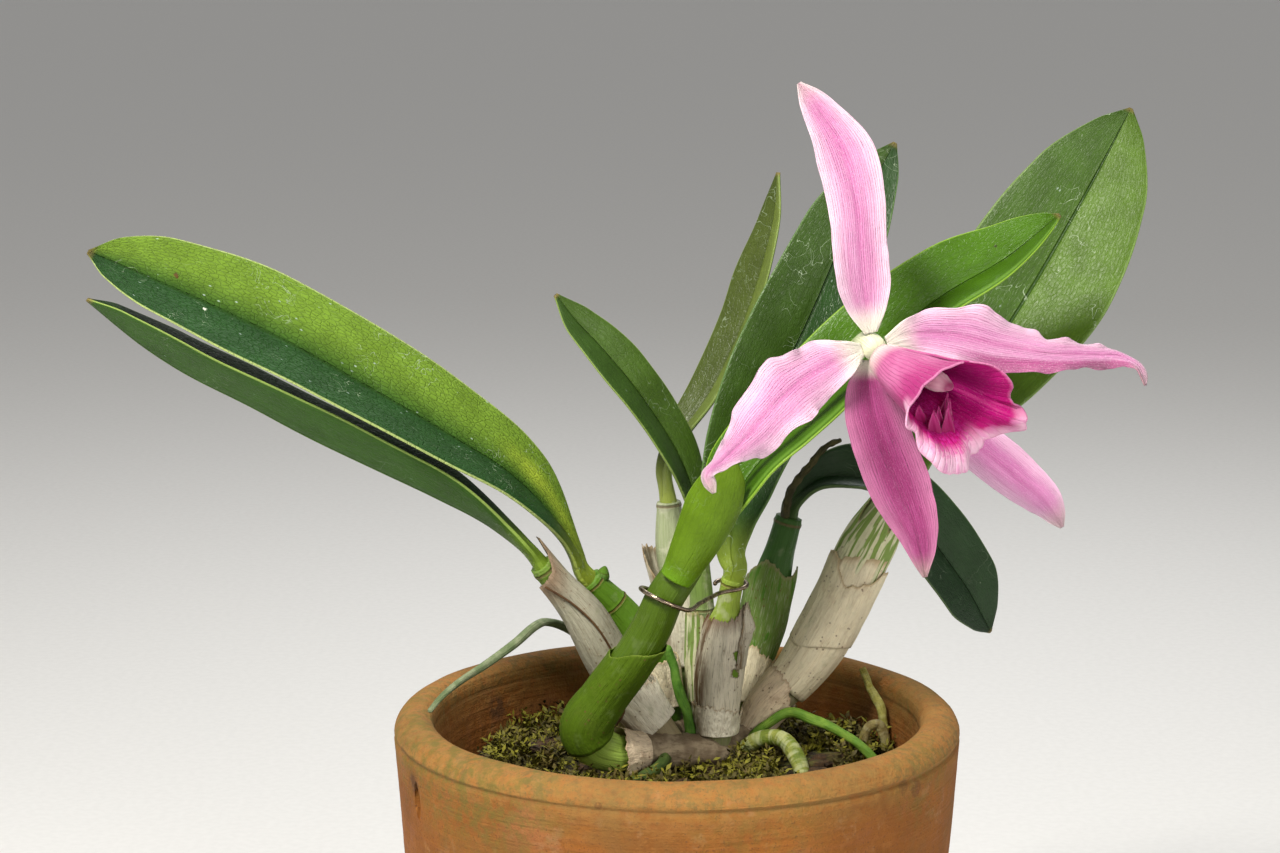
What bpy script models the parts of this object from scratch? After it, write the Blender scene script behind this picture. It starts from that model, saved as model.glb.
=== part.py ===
"""A potted cattleya-type orchid: eight growths on one creeping rhizome, one flower, in a terracotta pot.

Metres, +Z up. The origin is the centre of the pot's underside, and +Y points away from the front of the pot.
Places on the plant are given in millimetres from the centre of the pot's rim, by the function at().
"""

from math import cos, pi, radians, sin

import bmesh
import bpy
import numpy as np
from mathutils import Matrix, Vector, noise

MM = 0.001

# Driving dimensions of the pot, in metres
POT_HEIGHT = 0.139
POT_RADIUS = 0.075
POT_BASE_RADIUS = 0.065
WALL = 0.0105
FLOOR = 0.012
RIM_ROUNDING = 0.0065
HOLE_RADIUS = 0.006
HOLE_RING = 0.034
HOLES = 3
FOOT_ROUNDING = 0.002
GROOVE_DEPTH = 0.0006
POT_STEPS = 40
SLOT_SIZE = (0.0028, 0.0019, 0.0052)

# Clearances and sheet thicknesses, in metres
GAP = 0.0003
SEAT_GAP = 0.0005
SLEEVE_GAP = 0.0006
SLEEVE_THICKNESS = 0.0008
PETAL_THICKNESS = 0.0009

# Potting mix: its level under the rim, and mossy mounds as (x, y, height, spread) in millimetres
MIX_LEVEL = -20.5
MOUNDS = (
    (-64, -2, -15, 24),
    (-36, 14, 5, 12),
    (8, -24, 3.5, 13),
    (34, 2, 4, 12),
    (46, 24, 4, 12),
    (-12, 40, 3, 14),
    (-22, -14, 2, 10),
)
BUMP_HEIGHT = 1.6
BUMP_SIZE = 7.0
MIX_STEPS = 32
MIX_RINGS = 8

# Leaves: thickness, its share along the blade, and the straight run from the stem
LEAF_THICKNESS = 0.0032
LEAF_WEIGHTS = [(0, 1.0), (0.06, 0.9), (0.18, 0.65), (0.7, 0.5), (1, 0.3)]
PETIOLE_RUN = 0.0035

# Cells across and along each kind of blade, and rings and sides of each kind of tube
LEAF_CELLS = (4, 12)
BRACT_CELLS = (4, 8)
TEPAL_CELLS = (6, 12)
LIP_CELLS = (22, 9)
SLEEVE_CELLS = (12, 4)
STEM_MESH = (11, 10)
RHIZOME_MESH = (10, 10)
ROOT_MESH = (10, 8)
LONG_ROOT_MESH = (14, 8)
STALK_MESH = (27, 8)
COLUMN_MESH = (8, 8)
DEAD_STALK_MESH = (9, 6)
WIRE_MESH = (28, 6)

GREEN = (0.13, 0.26, 0.02)
LEAF_GREEN = (0.09, 0.19, 0.02)
DARK_GREEN = (0.03, 0.09, 0.02)
PAPER = (0.50, 0.46, 0.36)
TERRACOTTA = (0.47, 0.21, 0.08)
PINK = (0.76, 0.33, 0.56)
MAGENTA = (0.55, 0.03, 0.24)


def at(x, y, z):
    """A point in metres, from millimetres off the centre of the pot's rim."""
    return Vector((x * MM, y * MM, z * MM + POT_HEIGHT))


def material_of(name, colour, roughness=0.5, metallic=0.0):
    """A plain Principled BSDF material."""
    material = bpy.data.materials.new(name)
    material.use_nodes = True
    shader = material.node_tree.nodes["Principled BSDF"]
    shader.inputs["Base Color"].default_value = (*colour, 1.0)
    shader.inputs["Roughness"].default_value = roughness
    shader.inputs["Metallic"].default_value = metallic
    material.diffuse_color = (*colour, 1.0)
    return material


def new_collection(name, hidden=False):
    collection = bpy.data.collections.new(name)
    bpy.context.scene.collection.children.link(collection)
    collection.hide_render = hidden
    return collection


def add_object(name, data, collection, material=None):
    obj = bpy.data.objects.new(name, data)
    collection.objects.link(obj)
    if material:
        data.materials.append(material)
    return obj


def add_cutter(name, data, cutters):
    cutter = add_object(name, data, cutters)
    cutter.hide_render = True
    cutter.display_type = "WIRE"
    return cutter


def along(pairs, shares):
    """Values at shares of a length, on a smooth curve through (share, value) pairs that never overshoots."""
    places, values = np.array(pairs, float).T
    steps = np.diff(places)
    rises = np.diff(values) / steps
    slopes = np.concatenate([rises[:1], np.zeros(len(rises) - 1), rises[-1:]])
    for i in range(1, len(rises)):
        if rises[i - 1] * rises[i] > 0:
            slopes[i] = 2 * rises[i - 1] * rises[i] / (rises[i - 1] + rises[i])
    cell = np.clip(np.searchsorted(places, shares) - 1, 0, len(steps) - 1)
    t = (shares - places[cell]) / steps[cell]
    near = values[cell] * (1 + 2 * t) * (1 - t) ** 2 + slopes[cell] * steps[cell] * t * (1 - t) ** 2
    far = values[cell + 1] * t * t * (3 - 2 * t) + slopes[cell + 1] * steps[cell] * t * t * (t - 1)
    return near + far


class Path:
    """A smooth curve through a few points, read at shares of its length."""

    SAMPLES = 240

    def __init__(self, points):
        points = np.array([tuple(point) for point in points], float)
        knots = np.concatenate([[0], np.cumsum(np.linalg.norm(np.diff(points, axis=0), axis=1))])
        slopes = np.gradient(points, knots, axis=0)
        fine = np.linspace(0, knots[-1], self.SAMPLES)
        cell = np.clip(np.searchsorted(knots, fine) - 1, 0, len(knots) - 2)
        step = (knots[cell + 1] - knots[cell])[:, None]
        t = (fine[:, None] - knots[cell][:, None]) / step
        self.line = (
            points[cell] * (1 + 2 * t) * (1 - t) ** 2
            + slopes[cell] * step * t * (1 - t) ** 2
            + points[cell + 1] * t * t * (3 - 2 * t)
            + slopes[cell + 1] * step * t * t * (t - 1)
        )
        run = np.concatenate([[0], np.cumsum(np.linalg.norm(np.diff(self.line, axis=0), axis=1))])
        self.length = run[-1]
        self.shares = run / run[-1]

    def point(self, share):
        """The point at a share of the length; past either end it goes straight on."""
        inside = min(max(share, 0.0), 1.0)
        place = Vector(float(np.interp(inside, self.shares, self.line[:, axis])) for axis in range(3))
        return place + self.tangent(inside) * ((share - inside) * self.length)

    def tangent(self, share):
        reach = 2 / self.SAMPLES
        low, high = max(share - reach, 0.0), min(share + reach, 1.0)
        ends = [
            Vector(float(np.interp(side, self.shares, self.line[:, axis])) for axis in range(3))
            for side in (low, high)
        ]
        return (ends[1] - ends[0]).normalized()

    def frame(self, share, towards):
        """The tangent, the direction nearest to towards that is square to it, and the third direction."""
        tangent = self.tangent(share)
        face = (towards - tangent * towards.dot(tangent)).normalized()
        return tangent, face, tangent.cross(face)


def tube(name, path, radii, mesh_size, collection, material=None, swell=0.0):
    """A tube along a path, with its radius in millimetres from (share, radius) pairs, and closed ends.

    mesh_size is the pair of its rings and its even number of sides, and swell widens it, in metres.
    """
    rings, sides = mesh_size
    curve = bpy.data.curves.new(name, "CURVE")
    curve.dimensions = "3D"
    curve.bevel_depth = MM
    curve.bevel_resolution = sides // 2 - 2
    curve.use_fill_caps = True
    spline = curve.splines.new("POLY")
    spline.points.add(rings - 1)
    shares = np.linspace(0, 1, rings)
    sizes = along(radii, shares) + swell / MM
    for point, share, size in zip(spline.points, shares, sizes):
        point.co = (*path.point(share), 1.0)
        point.radius = size
    spline.use_smooth = True
    return add_object(name, curve, collection, material)


def as_mesh(obj):
    """The curve object made a mesh object of the same name, with its caps welded."""
    graph = bpy.context.evaluated_depsgraph_get()
    mesh = bpy.data.meshes.new_from_object(obj.evaluated_get(graph))
    work = bmesh.new()
    work.from_mesh(mesh)
    bmesh.ops.remove_doubles(work, verts=work.verts, dist=1e-6)
    bmesh.ops.recalc_face_normals(work, faces=work.faces)
    work.to_mesh(mesh)
    work.free()
    name, collection, matrix = obj.name, obj.users_collection[0], obj.matrix_world.copy()
    hidden = obj.hide_render
    bpy.data.objects.remove(obj)
    mesh.name = name
    solid = add_object(name, mesh, collection)
    solid.matrix_world = matrix
    solid.hide_render = hidden
    if hidden:
        solid.display_type = "WIRE"
    mesh.shade_smooth()
    return solid


def keep_largest_body(mesh):
    """Drops the loose scraps that a cut leaves."""
    work = bmesh.new()
    work.from_mesh(mesh)
    left = set(work.verts)
    bodies = []
    while left:
        body = {left.pop()}
        edge_of_body = list(body)
        while edge_of_body:
            vert = edge_of_body.pop()
            for edge in vert.link_edges:
                other = edge.other_vert(vert)
                if other in left:
                    left.remove(other)
                    body.add(other)
                    edge_of_body.append(other)
        bodies.append(body)
    bodies.sort(key=len)
    scraps = [vert for body in bodies[:-1] for vert in body]
    bmesh.ops.delete(work, geom=scraps, context="VERTS")
    work.to_mesh(mesh)
    work.free()


def carve(obj, cutters):
    """Cuts the cutters out of a mesh object, for good, and keeps its main body."""
    for cutter in cutters:
        cut = obj.modifiers.new(cutter.name, "BOOLEAN")
        cut.operation = "DIFFERENCE"
        cut.object = cutter
        cut.solver = "EXACT"
    graph = bpy.context.evaluated_depsgraph_get()
    mesh = bpy.data.meshes.new_from_object(obj.evaluated_get(graph))
    obj.modifiers.clear()
    old = obj.data
    obj.data = mesh
    bpy.data.meshes.remove(old)
    mesh.name = obj.name
    keep_largest_body(mesh)


def sheet(name, place_of, cells, thickness, thickness_of, collection, material, offset=0.0):
    """A grid bent by place_of(u, v), with u from -1 to 1 and v from 0 to 1, and thickened into a solid."""
    across, lengthwise = cells
    work = bmesh.new()
    bmesh.ops.create_grid(work, x_segments=across, y_segments=lengthwise, size=1.0)
    uses = []
    for vert in work.verts:
        u, v = vert.co.x, (vert.co.y + 1) / 2
        vert.co = place_of(u, v)
        uses.append(thickness_of(u, v))
    bmesh.ops.triangulate(work, faces=work.faces)
    mesh = bpy.data.meshes.new(name)
    work.to_mesh(mesh)
    work.free()
    obj = add_object(name, mesh, collection, material)
    weights = obj.vertex_groups.new(name="thickness")
    for index, weight in enumerate(uses):
        weights.add([index], weight, "REPLACE")
    shell = obj.modifiers.new("thickness", "SOLIDIFY")
    shell.thickness = thickness
    shell.offset = offset
    shell.vertex_group = weights.name
    mesh.shade_smooth()
    return obj


def row_share(v):
    """Rows lie a little closer together towards both ends of a blade."""
    return 0.6 * v + 0.4 * (1 - cos(pi * v)) / 2


def blade(name, path, widths, facing, collection, material, cells, thickness, weights, fold=((0, 0), (1, 0)),
          curl=((0, 0), (1, 0)), ripple=(0.0, 0.0, 0.0)):
    """A leaf, petal or sepal along a path.

    widths holds (share, full width in millimetres); facing holds (share, direction the upper face looks);
    fold is the angle in degrees that each half lifts from the midrib, and curl the angle by which it goes
    on turning up to its margin; ripple is the height of the margin's waves in millimetres, their number
    and their phase.
    """
    turns = [share for share, _ in facing]
    directions = np.array([direction for _, direction in facing], float)
    height, waves, phase = ripple

    def place_of(u, v):
        share = row_share(v)
        half = float(along(widths, share)) / 2 * MM
        towards = Vector(float(np.interp(share, turns, directions[:, axis])) for axis in range(3))
        _, face, side = path.frame(share, towards)
        lift = radians(float(along(fold, share)))
        turn = radians(float(along(curl, share))) + 1e-6
        reach = abs(u)
        out = (sin(lift + turn * reach) - sin(lift)) / turn
        rise = (cos(lift) - cos(lift + turn * reach)) / turn
        wave = height * MM * reach ** 2 * sin(2 * pi * waves * share + phase + (pi / 2 if u > 0 else 0))
        wave *= min(1.0, 6 * share, 8 * (1 - share))
        return path.point(share) + side * (half * out * (1 if u > 0 else -1)) + face * (half * rise + wave)

    def thickness_of(u, v):
        return float(along(weights, row_share(v)))

    return sheet(name, place_of, cells, thickness, thickness_of, collection, material)


def sleeve(name, path, radii, shape, collection):
    """A dry sheath round a growth, open at a slit, with a torn upper margin.

    In shape, span is the pair of shares of the path where it starts and where its margin lies; slit is the
    pair of angles, in degrees round the growth from its left side through the front, between which it
    runs; margin holds (share of that turn, extra share of the path), and flare (share of that turn,
    distance in millimetres that the margin stands off).
    """
    start, end = shape["span"]
    first, last = (radians(angle) for angle in shape["slit"])

    def place_of(u, v):
        turn = (u + 1) / 2
        share = start + (end + float(along(shape["margin"], turn)) - start) * v
        angle = first + (last - first) * turn
        inside = min(max(share, 0.0), 1.0)
        off = SLEEVE_GAP + float(along(shape["flare"], turn)) * v * MM
        radius = float(along(radii, inside)) * MM + off
        _, face, side = path.frame(inside, Vector((0, -1, 0)))
        return path.point(share) + (side * -cos(angle) + face * sin(angle)) * radius

    sheet(
        name, place_of, SLEEVE_CELLS, SLEEVE_THICKNESS, lambda u, v: 1.0, collection,
        material_of(name, PAPER, 0.8), offset=1.0,
    )


def turned(name, profile, steps, collection, material=None):
    """A solid turned about the pot's axis from a profile of (radius, height) in metres."""
    mesh = bpy.data.meshes.new(name)
    work = bmesh.new()
    points = [work.verts.new((radius, 0, height)) for radius, height in profile]
    for first, second in zip(points, points[1:]):
        work.edges.new((first, second))
    work.to_mesh(mesh)
    work.free()
    obj = add_object(name, mesh, collection, material)
    screw = obj.modifiers.new("turn", "SCREW")
    screw.angle = 2 * pi
    screw.steps = steps
    screw.render_steps = steps
    screw.use_merge_vertices = True
    screw.merge_threshold = 1e-5
    return obj


def wall_radius(height, inner=False):
    """The pot's outer radius at a height, or its inner one."""
    taper = (POT_RADIUS - POT_BASE_RADIUS) / (POT_HEIGHT - RIM_ROUNDING)
    radius = POT_BASE_RADIUS + taper * min(height, POT_HEIGHT - RIM_ROUNDING)
    return radius - WALL if inner else radius


def arc(centre, radius, angles):
    """Points (radius, height) on a rounding, at angles in degrees from the outside up."""
    turns = [radians(angle) for angle in angles]
    return [(centre[0] + radius * cos(turn), centre[1] + radius * sin(turn)) for turn in turns]


def make_pot(parts, cutters):
    """The terracotta pot: rounded rim, fine groove under it, three drainage holes and a slot in its wall."""
    shoulder = POT_HEIGHT - RIM_ROUNDING
    crown = WALL - RIM_ROUNDING
    crest = POT_RADIUS - RIM_ROUNDING
    outer_rim = arc((crest, shoulder), RIM_ROUNDING, (90, 67, 44, 21, 3))
    inner_rim = arc((crest, POT_HEIGHT - crown), crown, (180, 150, 120, 90))
    groove = shoulder - 2 * GROOVE_DEPTH
    outer_wall = [
        (wall_radius(groove) - GROOVE_DEPTH, groove),
        (wall_radius(groove - 2 * GROOVE_DEPTH), groove - 2 * GROOVE_DEPTH),
        (POT_BASE_RADIUS, FOOT_ROUNDING),
        (POT_BASE_RADIUS - FOOT_ROUNDING, 0.0),
        (0.0, 0.0),
    ]
    inner_wall = [
        (0.0, FLOOR),
        (wall_radius(FLOOR, inner=True) - FLOOR / 4, FLOOR),
        (wall_radius(FLOOR * 1.25, inner=True), FLOOR * 1.25),
    ]
    pot = as_mesh(turned("pot", outer_rim + outer_wall + inner_wall + inner_rim, POT_STEPS, parts))
    pot.data.materials.append(material_of("terracotta", TERRACOTTA, 0.85))
    holes = []
    for index in range(HOLES):
        angle = 2 * pi * index / HOLES + pi / 2
        work = bmesh.new()
        bmesh.ops.create_cone(
            work, cap_ends=True, segments=16, radius1=HOLE_RADIUS, radius2=HOLE_RADIUS, depth=4 * FLOOR,
            matrix=Matrix.Translation((HOLE_RING * cos(angle), HOLE_RING * sin(angle), 0)),
        )
        mesh = bpy.data.meshes.new(f"hole_{index}")
        work.to_mesh(mesh)
        work.free()
        holes.append(add_cutter(f"hole_{index}", mesh, cutters))
    chip = bmesh.new()
    bmesh.ops.create_uvsphere(chip, u_segments=8, v_segments=6, radius=1.0)
    bmesh.ops.scale(chip, vec=SLOT_SIZE, verts=chip.verts)
    mesh = bpy.data.meshes.new("slot")
    chip.to_mesh(mesh)
    chip.free()
    slot = add_cutter("slot", mesh, cutters)
    slot.location = at(-66.4, -32, -16)
    slot.rotation_euler = (0, 0, radians(25))
    bpy.context.view_layer.update()
    carve(pot, holes + [slot])
    pot.data.shade_smooth()
    pot.data.set_sharp_from_angle(angle=radians(35))


def mix_height(x, y):
    """The height of the mossy surface under the rim, in millimetres."""
    height = MIX_LEVEL
    for mound_x, mound_y, rise, spread in MOUNDS:
        distance = ((x - mound_x) ** 2 + (y - mound_y) ** 2) / spread ** 2
        height += rise * np.exp(-distance)
    return height + BUMP_HEIGHT * noise.noise(Vector((x, y, 3.0)) / BUMP_SIZE)


def make_mix(parts, beds):
    """The potting mix: it fills the pot, with a bumpy top, and the rhizome and roots lie in beds in it."""
    base = FLOOR + GAP
    edge = base + FLOOR / 3
    profile = [(ring / MIX_RINGS, POT_HEIGHT) for ring in range(MIX_RINGS + 1)]
    profile += [
        (wall_radius(edge, inner=True) - 2 * GAP, edge),
        (wall_radius(edge, inner=True) - FLOOR / 2, base),
        (0.0, base),
    ]
    mix = as_mesh(turned("potting_mix", profile, MIX_STEPS, parts))
    fit = wall_radius(POT_HEIGHT + MIX_LEVEL * MM, inner=True)
    for vert in mix.data.vertices:
        if vert.co.z > POT_HEIGHT - MM:
            height = mix_height(vert.co.x / MM * fit, vert.co.y / MM * fit)
            reach = wall_radius(POT_HEIGHT + height * MM, inner=True) - 2 * GAP
            vert.co = (vert.co.x * reach, vert.co.y * reach, POT_HEIGHT + height * MM)
    mix.data.materials.append(material_of("moss_and_bark", (0.09, 0.10, 0.02), 0.95))
    carve(mix, beds)


# The growths. Each has its stem's path and radii, and its leaf's path, widths, facing and fold
GROWTHS = {
    "left_front": {
        "stem": [(-1, 7, -12), (-8, 7.5, -4), (-17, 7.5, 9), (-26, 6, 25), (-33, 4, 34), (-36, 3, 38)],
        "radii": [(0, 3.4), (0.15, 4.6), (0.4, 5.5), (0.65, 5.0), (0.85, 3.6), (1, 3.2)],
        "leaf": [(-40, 1, 43), (-48, 0, 49.5), (-62, -3, 58), (-85, -7, 70), (-110, -11, 84), (-132, -15, 97),
                 (-150, -19, 112)],
        "widths": [(0, 6), (0.08, 9), (0.25, 22), (0.55, 26), (0.8, 26), (0.94, 15), (1, 1.2)],
        "facing": [(0, (0.8, 0.0, 0.6)), (0.3, (0.6, 0.1, 0.8)), (1, (0.6, 0.15, 0.8))],
        "fold": [(0, 0), (0.1, 25), (0.3, 40), (1, 28)],
        "stem_colour": GREEN,
        "leaf_colour": LEAF_GREEN,
    },
    "left_back": {
        "stem": [(-2, 21, -12), (-3, 22, -5), (-5, 21.5, 3), (-8, 21, 10), (-15, 18.5, 21), (-21, 16.5, 28),
                 (-23.5, 15.5, 31)],
        "radii": [(0, 3.4), (0.15, 4.2), (0.4, 5.8), (0.7, 4.6), (0.9, 3.9), (1, 3.6)],
        "leaf": [(-27, 14, 37), (-33, 11, 48), (-45, 6, 62), (-60, 1, 73), (-80, -3, 86), (-100, -5, 98),
                 (-127, -8, 112), (-151, -10, 123)],
        "widths": [(0, 6.5), (0.07, 9), (0.2, 25), (0.45, 36), (0.7, 38), (0.88, 30), (0.96, 17), (1, 1.2)],
        "facing": [(0, (0.9, -0.25, 0.3)), (0.25, (0.5, -0.45, 0.7)), (1, (0.4, -0.5, 0.7))],
        "fold": [(0, 0), (0.1, 20), (0.25, 18), (1, 12)],
        "stem_colour": GREEN,
        "leaf_colour": GREEN,
    },
    "front": {
        "stem": [(-12, -1, -12.5), (-17, -4.5, -11.5), (-22, -7.5, -8), (-24, -9.5, -3), (-19.5, -10.5, 5),
                 (-13.2, -12, 14), (-7.2, -13, 24), (-3, -15, 34), (2, -15, 42), (4, -15, 46)],
        "radii": [(0, 4.4), (0.1, 5.3), (0.2, 6.1), (0.28, 5.9), (0.42, 5.3), (0.6, 5.2), (0.9, 4.8), (1, 4.6)],
        "leaf": [(10, -13.5, 53), (21, -9, 67), (37, -4, 82), (52, 1, 96), (70, 5, 109.5), (86, 8, 119),
                 (100, 10, 130)],
        "widths": [(0, 6.5), (0.05, 10), (0.2, 25), (0.5, 29), (0.75, 26), (0.9, 17), (0.97, 8), (1, 1.2)],
        "facing": [(0, (-0.7, -0.5, 0.5)), (0.3, (-0.42, -0.69, 0.6)), (1, (-0.42, -0.69, 0.6))],
        "fold": [(0, 0), (0.1, 25), (0.25, 33), (1, 30)],
        "stem_colour": GREEN,
        "leaf_colour": GREEN,
    },
    "middle": {
        "stem": [(11, 11, -15), (11, 11, -6), (11.5, 11, 7), (13, 10, 20), (14, 9, 27), (15, 8, 33)],
        "radii": [(0, 3.4), (0.15, 4.5), (0.45, 5.7), (0.7, 5.0), (0.84, 3.2), (1, 2.9)],
        "leaf": [(15, 8.5, 38), (15, 11, 46), (19, 18, 64), (27, 24, 82), (36.5, 30, 101), (47.5, 36, 125),
                 (59, 40, 146)],
        "widths": [(0, 5.4), (0.06, 8), (0.2, 22), (0.5, 31), (0.78, 25), (0.93, 13), (1, 1.2)],
        "facing": [(0, (-0.3, -0.9, 0.2)), (0.3, (-0.1, -0.9, 0.35)), (1, (-0.2, -0.9, 0.3))],
        "fold": [(0, 0), (0.1, 25), (0.25, 26), (1, 18)],
        "stem_colour": (0.17, 0.28, 0.05),
        "leaf_colour": DARK_GREEN,
    },
    "centre_back": {
        "stem": [(7, 24, -12), (7, 25, -6), (7, 25, 6), (7, 25, 23), (6, 24, 36), (6, 23, 42)],
        "radii": [(0, 2.6), (0.3, 3.5), (0.7, 3.2), (1, 2.6)],
        "leaf": [(5, 21, 50), (2, 19, 60), (-4.5, 17, 73), (-12.5, 14, 85), (-20.5, 12, 95), (-28, 11, 103.5),
                 (-32, 10, 109)],
        "widths": [(0, 4.6), (0.1, 7), (0.35, 14), (0.65, 15), (0.88, 10), (1, 1.2)],
        "facing": [(0, (0.5, -0.6, 0.4)), (1, (0.35, -0.8, 0.45))],
        "fold": [(0, 0), (0.12, 20), (1, 15)],
        "stem_colour": (0.20, 0.28, 0.10),
        "leaf_colour": LEAF_GREEN,
    },
    "rear": {
        "stem": [(3, 36, -12), (3, 36, -4), (3, 36, 8), (2, 36, 21), (-1, 36, 36), (-2, 36, 48)],
        "radii": [(0, 3.4), (0.15, 4.4), (0.45, 5.8), (0.75, 4.8), (1, 3.1)],
        "leaf": [(-2.5, 36, 56), (1, 37, 65), (9.5, 40, 77), (17, 43, 91), (23, 46, 108), (27, 48, 125),
                 (28, 49, 137)],
        "widths": [(0, 5.4), (0.1, 7), (0.35, 16), (0.65, 18), (0.88, 10), (1, 1.2)],
        "facing": [(0, (-0.8, -0.5, 0.3)), (1, (-0.8, -0.5, 0.3))],
        "fold": [(0, 0), (0.12, 25), (1, 20)],
        "stem_colour": (0.24, 0.30, 0.14),
        "leaf_colour": LEAF_GREEN,
    },
    "rear_right": {
        "stem": [(19, 36, -12), (20, 36, -4), (22, 37, 5), (24.5, 38, 15), (27, 39, 27), (30, 39, 38),
                 (31.3, 39, 43)],
        "radii": [(0, 3.2), (0.2, 4.0), (0.45, 5.6), (0.65, 5.4), (0.85, 3.9), (1, 3.6)],
        "leaf": [(33.5, 39.5, 48), (39, 40, 52.5), (48, 42, 53), (60, 47, 46), (71, 53, 34), (81.5, 58, 19.5),
                 (90, 64, 4)],
        "widths": [(0, 5.0), (0.08, 7), (0.25, 20), (0.55, 24), (0.8, 22), (0.93, 12), (1, 1.2)],
        "facing": [(0, (-0.7, -0.7, 0.2)), (0.3, (0.1, -0.6, 0.8)), (0.6, (0.35, -0.85, 0.4)),
                   (1, (0.35, -0.85, 0.4))],
        "fold": [(0, 0), (0.14, 42), (0.3, 36), (0.6, 20), (1, 15)],
        "stem_colour": (0.07, 0.15, 0.03),
        "leaf_colour": DARK_GREEN,
    },
    "right": {
        "stem": [(21, 22, -12), (25.5, 21, -5), (32, 21.5, 2), (38.5, 22.5, 11), (44, 24, 21), (51, 26, 36),
                 (58.5, 28, 49), (64, 29.5, 57)],
        "radii": [(0, 4.0), (0.15, 5.0), (0.4, 6.8), (0.7, 6.8), (0.9, 4.6), (1, 3.4)],
        "leaf": [(68, 31, 64), (74, 33, 73), (83.5, 36, 86), (95.5, 41, 104), (109, 47, 126), (118, 51, 142),
                 (124.5, 54, 154)],
        "widths": [(0, 5.8), (0.07, 9), (0.25, 30), (0.55, 43), (0.8, 33), (0.94, 15), (1, 1.2)],
        "facing": [(0, (-0.5, -0.8, 0.3)), (0.3, (-0.2, -0.9, 0.3)), (1, (-0.2, -0.9, 0.3))],
        "fold": [(0, 0), (0.08, 20), (0.2, 12), (1, 5)],
        "stem_colour": (0.22, 0.28, 0.14),
        "leaf_colour": LEAF_GREEN,
    },
}

# Dry sheaths: the shares of the stem they span, the angles between which they run, the torn margin, and
# how far in millimetres the margin stands off the stem
SLEEVES = {
    "left_front": {
        "span": (0.22, 0.95),
        "slit": (-70, 265),
        "margin": [(0, -0.06), (0.3, -0.02), (0.55, 0.02), (0.72, 0.1), (0.8, 0.17), (0.9, 0.02), (1, -0.06)],
        "flare": [(0, 0), (1, 0)],
    },
    "middle": {
        "span": (0.2, 0.76),
        "slit": (-80, 262),
        "margin": [(0, -0.08), (0.25, 0.0), (0.5, 0.02), (0.8, 0.1), (0.9, 0.02), (1, -0.05)],
        "flare": [(0, 0), (0.7, 0), (0.8, 1.2), (1, 0)],
    },
    "rear": {
        "span": (0.24, 0.66),
        "slit": (-60, 280),
        "margin": [(0, 0.12), (0.15, 0.14), (0.3, -0.04), (0.6, 0.02), (1, 0.05)],
        "flare": [(0, 3.5), (0.15, 3.0), (0.3, 0), (1, 0)],
    },
    "rear_right": {
        "span": (0.22, 0.40),
        "slit": (-70, 270),
        "margin": [(0, 0.05), (0.3, -0.05), (0.6, 0.06), (0.8, 0.02), (1, 0.1)],
        "flare": [(0, 0.8), (0.5, 0), (1, 0)],
    },
    "right": {
        "span": (0.18, 0.63),
        "slit": (-75, 270),
        "margin": [(0, -0.02), (0.25, 0.0), (0.45, 0.05), (0.7, 0.08), (0.85, 0.0), (1, -0.03)],
        "flare": [(0, 0), (1, 0)],
    },
}

# The rhizome is two creeping lengths that meet under the left growths
RHIZOME_RADII = [(0, 4.0), (0.3, 4.8), (0.7, 4.8), (1, 5.0)]
RHIZOMES = (
    [(19, 41, -15), (20, 34, -15), (20, 23, -15), (12, 12, -16), (3, 7, -14.5), (-6, 3, -13),
     (-12.5, -1, -12.5)],
    [(3, 42, -15), (4, 34, -15), (6, 27, -15), (-1, 21, -14), (-4, 12, -13), (-3, 4, -13)],
)

# Roots: their points, their (share, radius) pairs in millimetres, and their colour
ROOTS = {
    "root_left_aerial": ([(4, 31, -14), (-5, 31, -8), (-16, 30, 3), (-26, 24, 13), (-34.5, 12, 20),
                          (-38, 3, 21), (-43, -4, 18), (-50, -9, 14), (-57, -12, 10), (-62, -14, 6),
                          (-65, -15, 2.6)],
                         [(0, 1.4), (0.5, 1.2), (0.9, 1.0), (1, 0.7)], (0.33, 0.38, 0.24)),
    "root_green": ([(19, 16, -15), (24.5, 14, -9), (31, 13.5, -5.5), (37, 11.5, -7), (45, 8, -10),
                    (52, 3, -14.5), (56, 1, -20)],
                   [(0, 1.4), (0.7, 1.3), (1, 1.1)], (0.20, 0.38, 0.05)),
    "root_ringed": ([(17, 11.5, -16), (22, 8, -11.5), (27, 5, -10), (31, -1, -12), (33, -6, -16),
                     (34, -10, -21)],
                    [(0, 1.9), (0.5, 2.3), (1, 1.9)], (0.30, 0.36, 0.12)),
    "root_yellow": ([(51.5, 31.5, 2), (53.5, 28.5, -3), (56, 25.5, -7), (57, 23, -14), (57, 22, -19)],
                    [(0, 0.9), (0.3, 1.2), (1, 1.3)], (0.40, 0.36, 0.08)),
    "root_curled": ([(51, 15, -21), (51, 16.5, -14), (52.5, 17, -10.5), (55, 17, -10), (56.5, 16, -13),
                     (57, 15, -20)],
                    [(0, 1.2), (0.5, 1.4), (1, 1.1)], (0.25, 0.20, 0.08)),
    "root_middle": ([(4, 9, -15), (3, 10, -5), (0.5, 10, 2), (-1, 10.5, 9), (-3, 10.5, 14)],
                    [(0, 1.5), (0.6, 1.35), (0.95, 1.2), (1, 0.8)], (0.14, 0.28, 0.05)),
    "root_front": ([(-3, 3, -14), (-4, -5, -14.5), (-9, -10, -16.5), (-15, -14, -19), (-20, -17, -23)],
                   [(0, 1.7), (0.7, 1.5), (1, 1.3)], (0.06, 0.12, 0.03)),
}
AERIAL_ROOTS = ("root_left_aerial",)
BURIED_ROOTS = ("root_green", "root_ringed", "root_yellow", "root_curled", "root_front")
RHIZOME_ROOTS = ("root_left_aerial", "root_green", "root_ringed", "root_middle", "root_front")

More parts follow.
